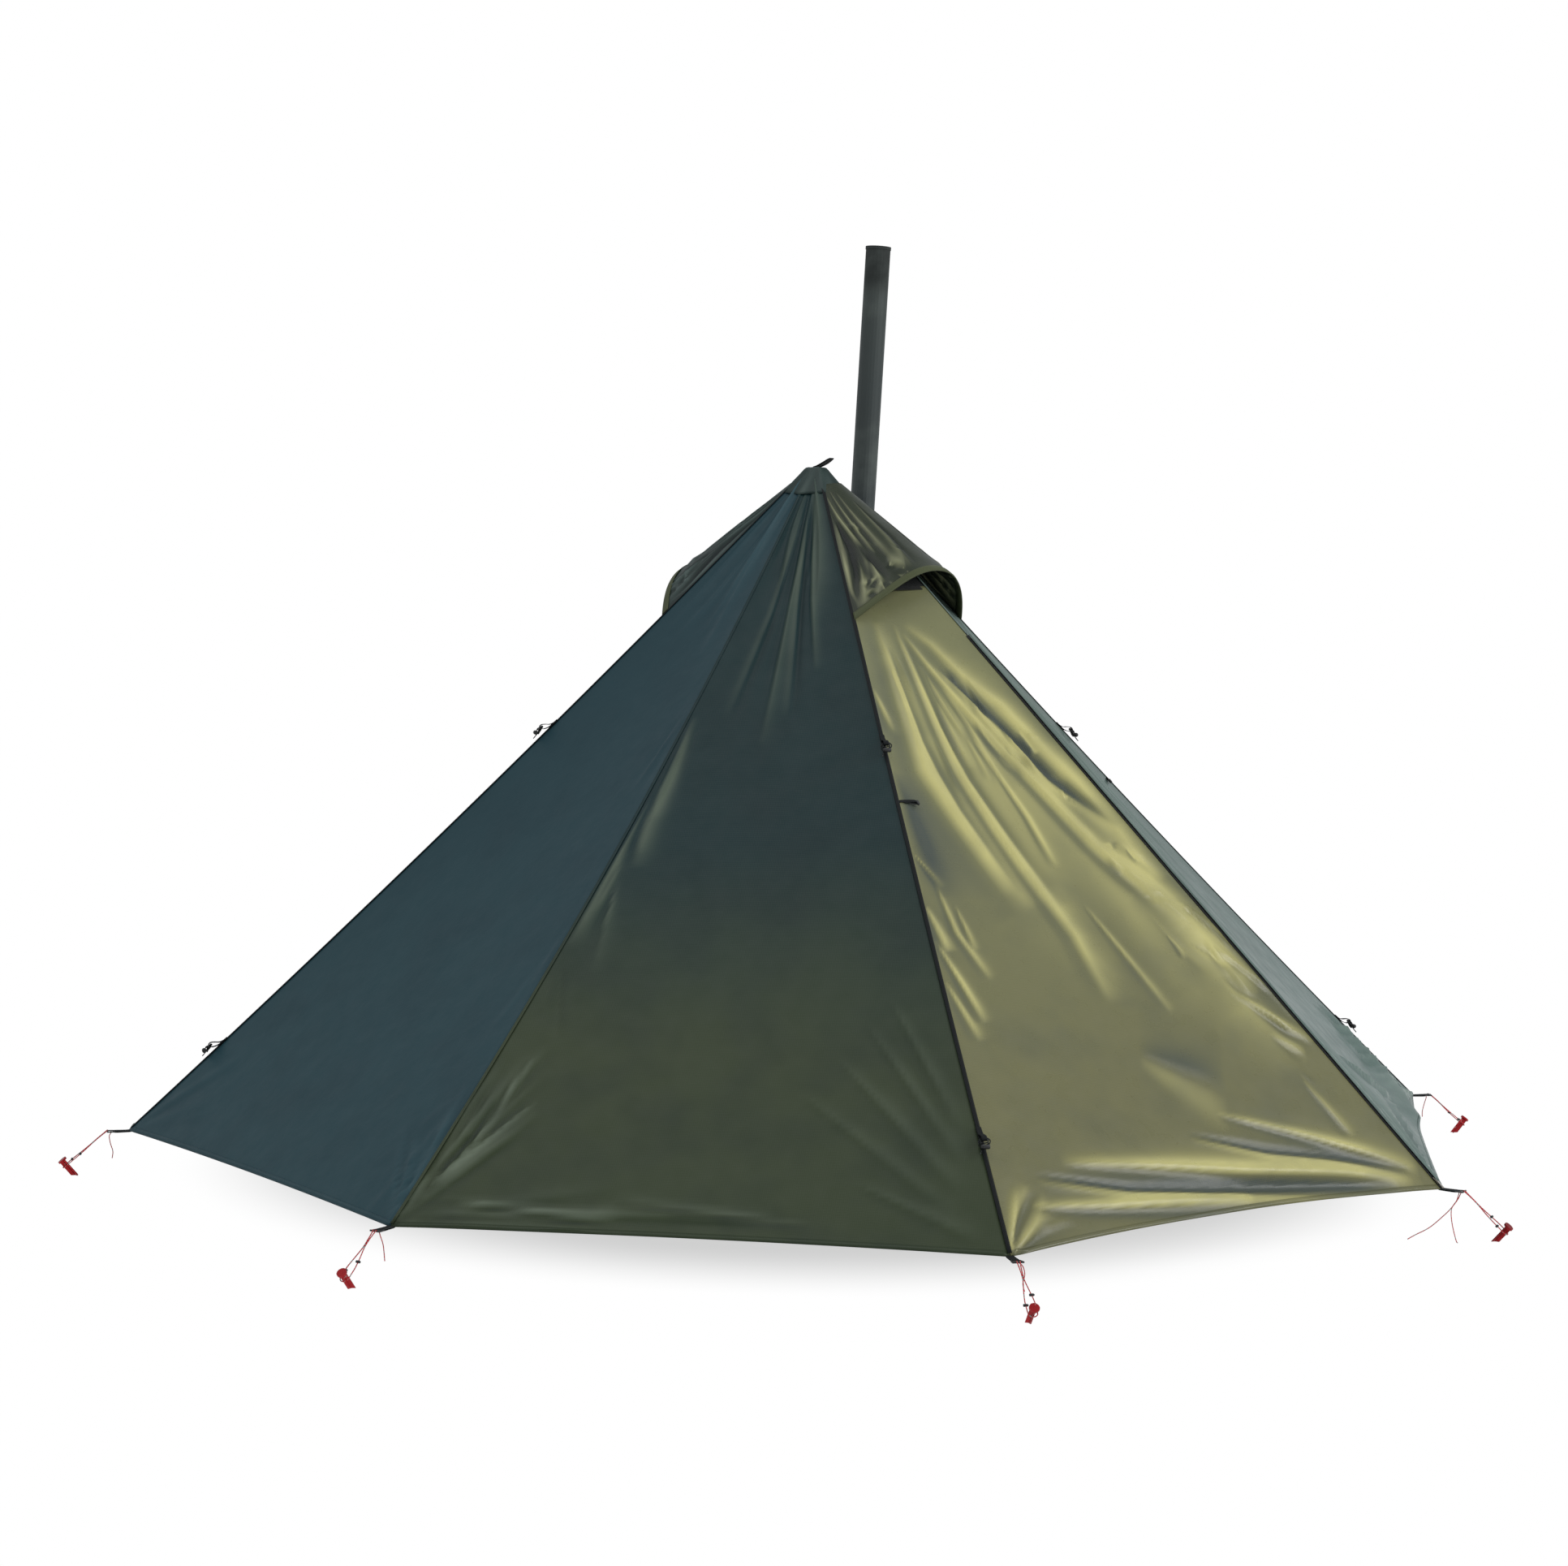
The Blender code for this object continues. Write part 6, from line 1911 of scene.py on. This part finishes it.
@dataclass
class Guyout:
    """A guy point on a ridge: a webbing loop and a hank of thin cord with its toggle."""

    corner: int
    down: float
    name: str
    model: bpy.types.Object
    width: float = 15 * MM
    thickness: float = 1.5 * MM
    cord_radius: float = 1.5 * MM
    turns: float = 4.2
    steps: int = 45
    loop_route: tuple[Place, ...] = (
        (2.2, -22), (3.0, -8), (8, 4), (18, 14), (25, 24), (22, 33), (11, 27), (4, 12), (2.6, 0), (2.4, -12),
    )

    def build(self) -> None:
        """Makes the pieces of one guy point; its routes are in millimetres from the seam."""
        spot = SHAPE.seam(self.corner, self.down)
        below = unit(SHAPE.seam(self.corner, self.down + 0.01) - spot)
        crest = SHAPE.crest(self.corner)
        side = np.cross(below, crest)
        line = smooth_route([spot + (crest * a + below * b) * MM for a, b in self.loop_route], 46)
        piece = strap(f"guy_loop_{self.name}", line, side, self.width, self.thickness, Looks.strap)
        placed(piece, "black_webbing")
        tie = []
        for step in range(self.steps + 1):
            angle = step / self.steps * math.tau * self.turns
            out = 15 + 5 * math.cos(angle * 1.1) + step * 0.14
            deep = (24 + 6 * math.cos(angle * 0.45)) * (1 - math.cos(angle)) / 2
            wide = (11 + 4 * math.sin(angle * 0.7)) * math.sin(angle)
            tie.append(spot + (crest * out + below * (24 + deep) + side * wide) * MM)
        tie.append(tie[-1] + (below * 18 - crest * 5) * MM)
        tie.append(tie[-1] + (below * 16 + side * 6 - crest * 3) * MM)
        line = smooth_route(tie, 200)
        hank = tube(f"guy_hank_{self.name}", line, self.cord_radius, Looks.shock_cord, 7)
        placed(hank, "black_webbing")
        middle = spot + (crest * 20 + below * 52) * MM
        barrel = toggle(self.model, f"guy_toggle_{self.name}", middle, (below, side, crest), 1.8)
        diameter = 2 * self.cord_radius
        limp_cord(hank, line, diameter, 2, far_end="knot", lay="hanging", with_pieces=[barrel])


@dataclass
class TieBack:
    """The loop that holds a rolled flap, sewn beside the ridge."""

    gore: Gore
    across: float
    model: bpy.types.Object
    down: float = 0.478
    width: float = 9 * MM
    thickness: float = 1.2 * MM
    route: tuple[Spot, ...] = (
        (-26, 2, 1.6), (-10, 2, 2.2), (6, 3, 3.4), (20, 6, 6), (31, 9, 7.5), (35, 14, 6), (28, 14, 4.2),
        (12, 8, 3.2), (-6, 5, 2.6),
    )

    def build(self) -> None:
        """Makes the loop and its toggle, lying on the cloth; the route is in millimetres."""
        index, normal = self.gore.index, self.gore.normal
        spot = self.gore.point(self.across, self.down)
        side = unit(SHAPE.seam(index + 1, self.down) - SHAPE.seam(index, self.down))
        if self.across > 0.5:
            side = -side
        down = np.cross(normal, side)
        if down[2] > 0:
            down = -down
        line = smooth_route([spot + (side * a + down * b + normal * c) * MM for a, b, c in self.route], 60)
        name, wide = self.gore.name.replace("cloth_", ""), down + normal * 0.15
        piece = strap(f"tie_back_{name}", line, wide, self.width, self.thickness, Looks.strap)
        placed(piece, "black_webbing")
        middle = spot + (side * 36 + down * 13 + normal * 6) * MM
        toggle(self.model, f"tie_toggle_{name}", middle, (side, down, normal), 1.15)


@dataclass
class ZipCover:
    """The storm strip over a zip, sewn to the flap at its right as seen from outside."""

    door: str
    gore: Gore
    width: float = 0.034
    lap: float = 0.010
    stand: float = 9.0 * MM  # clear of the slider's puller, which stands 6.9 mm off the zip
    sewn: float = 2.0 * MM
    thickness: float = 0.8 * MM
    free_edge: float = 6 * MM
    from_top: float = 0.012
    bottom: float = 0.992
    rows: int = 120

    def build(self) -> bpy.types.Object:
        """Makes the strip, standing clear of the zip and its slider."""
        corner, normal = self.gore.index, self.gore.normal
        down = np.linspace(SHAPE.zip_top + self.from_top, self.bottom, self.rows)
        across = np.linspace(-self.lap, self.width - self.lap, 9)
        line, into = SHAPE.seam(corner, down), SHAPE.into(corner, corner)
        back = SHAPE.into(corner, corner - 1)
        ripple = np.sin(down * 61) * 0.6 + np.sin(down * 37 + 1.3) * 0.8
        points = np.empty((self.rows, len(across), 3))
        for j, step in enumerate(across):
            rise = self.stand - max(0.0, step) / (self.width - self.lap) * (self.stand - self.sewn)
            way = back * -step if step < 0 else into * step
            loose = ripple * MM * (0.6 if step < self.free_edge else 0.4)
            points[:, j] = line + way + normal * rise + normal * loose[:, None]
        flat = flat_strip(across, down * SHAPE.seam_length)
        # Painted highlight and shade that follow the strip's ripple.
        fold = np.broadcast_to(ripple[:, None] * 0.25, points.shape[:2])
        name = f"zip_cover_{self.door}"
        piece = cloth_mesh(name, points, flat, self.gore.finish, normal, self.thickness, fold)
        return placed(piece, "door_cloth", body=self.gore.flap)


@dataclass(frozen=True)
class Flue:
    """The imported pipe's line, its joints, and the metal of the stove."""

    foot: Spot = (0.53585, 0.221956, 0.395)
    axis: Spot = (0.022204, -0.037545, 0.999048)
    radius: float = 0.040
    bead_half: float = 6 * MM
    bead_runs: tuple[float, ...] = (0.62, 1.22)

    def build(self) -> None:
        """Dresses the stove and adds the rolled beads where the pipe's sections meet."""
        dress(Looks.flue, "stove_pipe")
        dress(Looks.stove, "stove_firebox", "stove_door")
        dress(Looks.steel, "stove_latch", "stove_air_shutter", "stove_legs_front", "stove_legs_back")
        dress(Looks.steel, "flue_damper")
        foot, axis = Vector(self.foot), Vector(self.axis)
        turn = UP.rotation_difference(axis).to_matrix().to_4x4()
        for number, run in enumerate(self.bead_runs):
            bench = Bench(f"pipe_bead_{number}", Looks.flue)
            bench.rod((0, 0, self.bead_half), self.radius + 0.3 * MM, 48)
            bench.faces(lambda c, n: abs(n.z) < 0.5).inset(2 * MM).shrink(1.03, (True, True, False)).done()
            bench.faces(lambda c, n: abs(n.z) > 0.9).inset(1.2 * MM).bridge().done()
            bead = bench.rounded(0.5 * MM, 30)
            bead.data.transform(Matrix.Translation(foot + axis * run) @ turn)
            placed(bead, "flue_steel")


@dataclass
class Jack:
    """The heat-proof patch round the flue, with its hole."""

    gore: Gore
    flue: Flue
    across: float = 0.395304
    down: float = 0.328519
    width: float = 0.25
    length: float = 0.29
    area: float = 0.066
    gap: float = 1.5 * MM
    hole: float = 0.05
    lift: float = 3.2 * MM
    cloth: float = 1.4 * MM
    rows: int = 12
    columns: int = 64

    @property
    def middle(self) -> np.ndarray:
        """The flat place of the pipe."""
        return self.gore.flat(self.across, self.down)

    def build(self) -> None:
        """Makes the patch as rings round the pipe's hole."""
        points = np.empty((self.rows + 1, self.columns + 1, 3))
        flat = np.empty((self.rows + 1, self.columns + 1, 2))
        share, normal = (np.arange(self.rows + 1) / self.rows)[:, None], self.gore.normal
        for j in range(self.columns + 1):
            angle = math.tau * j / self.columns
            c, s = math.cos(angle), math.sin(angle)
            way = np.array((c, s))
            outer = min(self.width / 2 / max(abs(c), 1e-6), self.length / 2 / max(abs(s), 1e-6))
            hole, edge = self.rim(way), self.over(self.middle + way * outer)
            points[:, j] = hole + (edge - hole) * share + normal * self.lift
            flat[:, j] = self.middle + way * (self.hole + (outer - self.hole) * share)
        piece = cloth_mesh("jack_cloth", points, flat, Looks.jack, normal, self.cloth)
        weld = piece.modifiers.new("weld", "WELD")
        weld.merge_threshold = 0.02 * MM
        apply_all(piece)
        placed(piece, "jack_patch", "stove_jack")
        size, rests_on = (self.width, self.length), [self.gore.name]
        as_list(rests_on)

    def over(self, spot: np.ndarray) -> np.ndarray:
        """The point of the gore at a flat place."""
        v = spot[1] / SHAPE.gore_length
        return self.gore.point(spot[0] / (v * SHAPE.side) + 0.5, v)

    def rim(self, way: np.ndarray) -> np.ndarray:
        """Where the hole's edge lies round the pipe.

        Args:
            way: A direction on the flat cloth.

        Returns:
            The point.
        """
        axis, foot = np.array(self.flue.axis), np.array(self.flue.foot)
        reach, point = self.hole, np.zeros(3)
        for _ in range(5):
            point = self.over(self.middle + way * reach)
            off = point - foot
            off = off - axis * (off @ axis)
            reach += self.flue.radius + self.gap - float(np.linalg.norm(off))
        return point


class Studio:
    """Floor, light and camera."""

    spot = (-8.09869672, -4.78764822, 1.787)
    heading = 59.41
    pitch = -3.86
    roll = 0.99
    focal_pixels = 3752.0
    frame_pixels = (1932.0, 1929.0)
    principal = (999.0, 966.0)
    floor_size = 120.0
    soft_light = (0.93, 0.97, 1.0, 1.0)
    soft_strength = 0.55

    def build(self) -> None:
        """Makes the floor, the world, the lamps and the camera."""
        self.floor()
        self.world()
        self.lamp("key_lamp", (1.5, -9.0, 6.5), 5.0, 520.0)
        self.lamp("top_lamp", (-2.0, 1.0, 9.0), 7.0, 260.0)
        self.camera()

    def floor(self) -> None:
        """A wide white floor under the tent."""
        clear_selection()
        bpy.ops.mesh.primitive_plane_add(size=self.floor_size, location=(0, 0, -0.5 * MM))
        floor = bpy.context.object
        floor.name = "studio_floor"
        floor.data.materials.append(Floor().material())

    def lamp(self, name: str, spot: Spot, size: float, power: float) -> None:
        """A large soft lamp that points at the tent.

        Args:
            name: Its name.
            spot: Where it stands.
            size: Edge of its square.
            power: Its light in watts.
        """
        data = bpy.data.lights.new(name, "AREA")
        data.energy = power
        data.size = size
        lamp = linked(name, data)
        lamp.location = spot
        lamp.rotation_euler = (Vector((0, 0, 0.9)) - Vector(spot)).to_track_quat("-Z", "Y").to_euler()

    def world(self) -> None:
        """White to the camera, and a weaker light to everything else."""
        g = Graph(bpy.data.worlds.new("studio_world"), "ShaderNodeOutputWorld")
        soft = g.node("ShaderNodeBackground", inputs=(self.soft_light, self.soft_strength))
        seen = g.node("ShaderNodeBackground", inputs=(WHITE, 1.0))
        both = g.node("ShaderNodeMixShader", inputs=(g.ray("Is Camera Ray"), soft, seen))
        bpy.context.scene.world = g.ended(both)

    def camera(self) -> None:
        """A camera at the photograph's place, with its shift for the photograph's crop."""
        data = bpy.data.cameras.new("camera")
        width, height = self.frame_pixels
        data.sensor_width = 36.0
        data.lens = self.focal_pixels * data.sensor_width / width
        data.shift_x = -(self.principal[0] - width / 2) / width
        data.shift_y = (self.principal[1] - height / 2) / width
        data.clip_end = 300.0
        camera = linked("camera", data)
        pitch, heading, roll = (math.radians(a) for a in (self.pitch, self.heading, self.roll))
        ahead = Vector((math.sin(heading), math.cos(heading), 0)) * math.cos(pitch) + UP * math.sin(pitch)
        side = ahead.cross(UP).normalized()
        top = side.cross(ahead)
        right = side * math.cos(roll) + top * math.sin(roll)
        top = right.cross(ahead)
        turn = Matrix((right, top, -ahead)).transposed().to_4x4()
        camera.matrix_world = Matrix.Translation(self.spot) @ turn
        bpy.context.scene.camera = camera
        bpy.context.scene.view_settings.view_transform = "Standard"


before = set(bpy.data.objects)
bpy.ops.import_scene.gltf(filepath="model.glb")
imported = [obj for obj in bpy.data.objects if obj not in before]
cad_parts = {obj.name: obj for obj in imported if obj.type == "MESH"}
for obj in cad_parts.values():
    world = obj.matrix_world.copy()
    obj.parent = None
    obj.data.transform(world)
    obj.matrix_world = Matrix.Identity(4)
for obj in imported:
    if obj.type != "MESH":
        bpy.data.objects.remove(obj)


def dress_hard_parts() -> None:
    """Gives the pegs, the pole and the zips their finishes."""
    dress(Looks.peg, *(f"peg_{name}" for name in CORNER_NAMES))
    dress(Looks.pole, "pole_lower", "pole_upper")
    dress(Looks.rubber, "pole_foot")
    inwards, up = SHAPE.radius / SHAPE.seam_length, SHAPE.fall / SHAPE.seam_length
    for door, way in (("front", inwards), ("back", -inwards)):
        coil = ZipCoil(f"zip_coil_{door}", (0.0, way, up))
        dress(coil, f"zip_half_{door}_left", f"zip_half_{door}_right")
    dress(Looks.steel, "zip_slider_front", "zip_slider_back")


def main() -> None:
    """Builds the tent's pieces in order, and the studio."""
    logging.basicConfig(level=logging.INFO, format="%(name)s %(relativeCreated)d ms: %(message)s")
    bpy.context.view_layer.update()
    models = Hardware().build()
    gores = make_gores()
    sewn = [[SeamTape(i, name, gores[i].finish).build()] for i, name in enumerate(CORNER_NAMES)]
    for gore, extras in zip(gores, sewn):
        extras.append(Hem(gore).build())
    for door, corner in (("front", FRONT), ("back", BACK)):
        sewn[corner].append(ZipCover(door, gores[corner]).build())
    for gore, extras in zip(gores, sewn):
        gore.build(extras)
    Hood("front", 0.0, Looks.hood).build()
    Hood("back", math.pi, Looks.hood_rear).build()
    Crown().build()
    for index, name in enumerate(CORNER_NAMES):
        Corner(index, name, models).build()
    for corner in (1, 3, 5, 7):
        for place, down in (("high", 0.40), ("low", 0.872)):
            Guyout(corner, down, f"{CORNER_NAMES[corner]}_{place}", models["lock"]).build()
    for index, across in ((5, 0.035), (6, 0.965), (1, 0.035), (2, 0.965)):
        TieBack(gores[index], across, models["lock"]).build()
    flue = Flue()
    Jack(gores[0], flue).build()
    flue.build()
    dress_hard_parts()
    for model in models.values():
        bpy.data.objects.remove(model)
    Studio().build()
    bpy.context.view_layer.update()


if __name__ == "__main__":
    main()
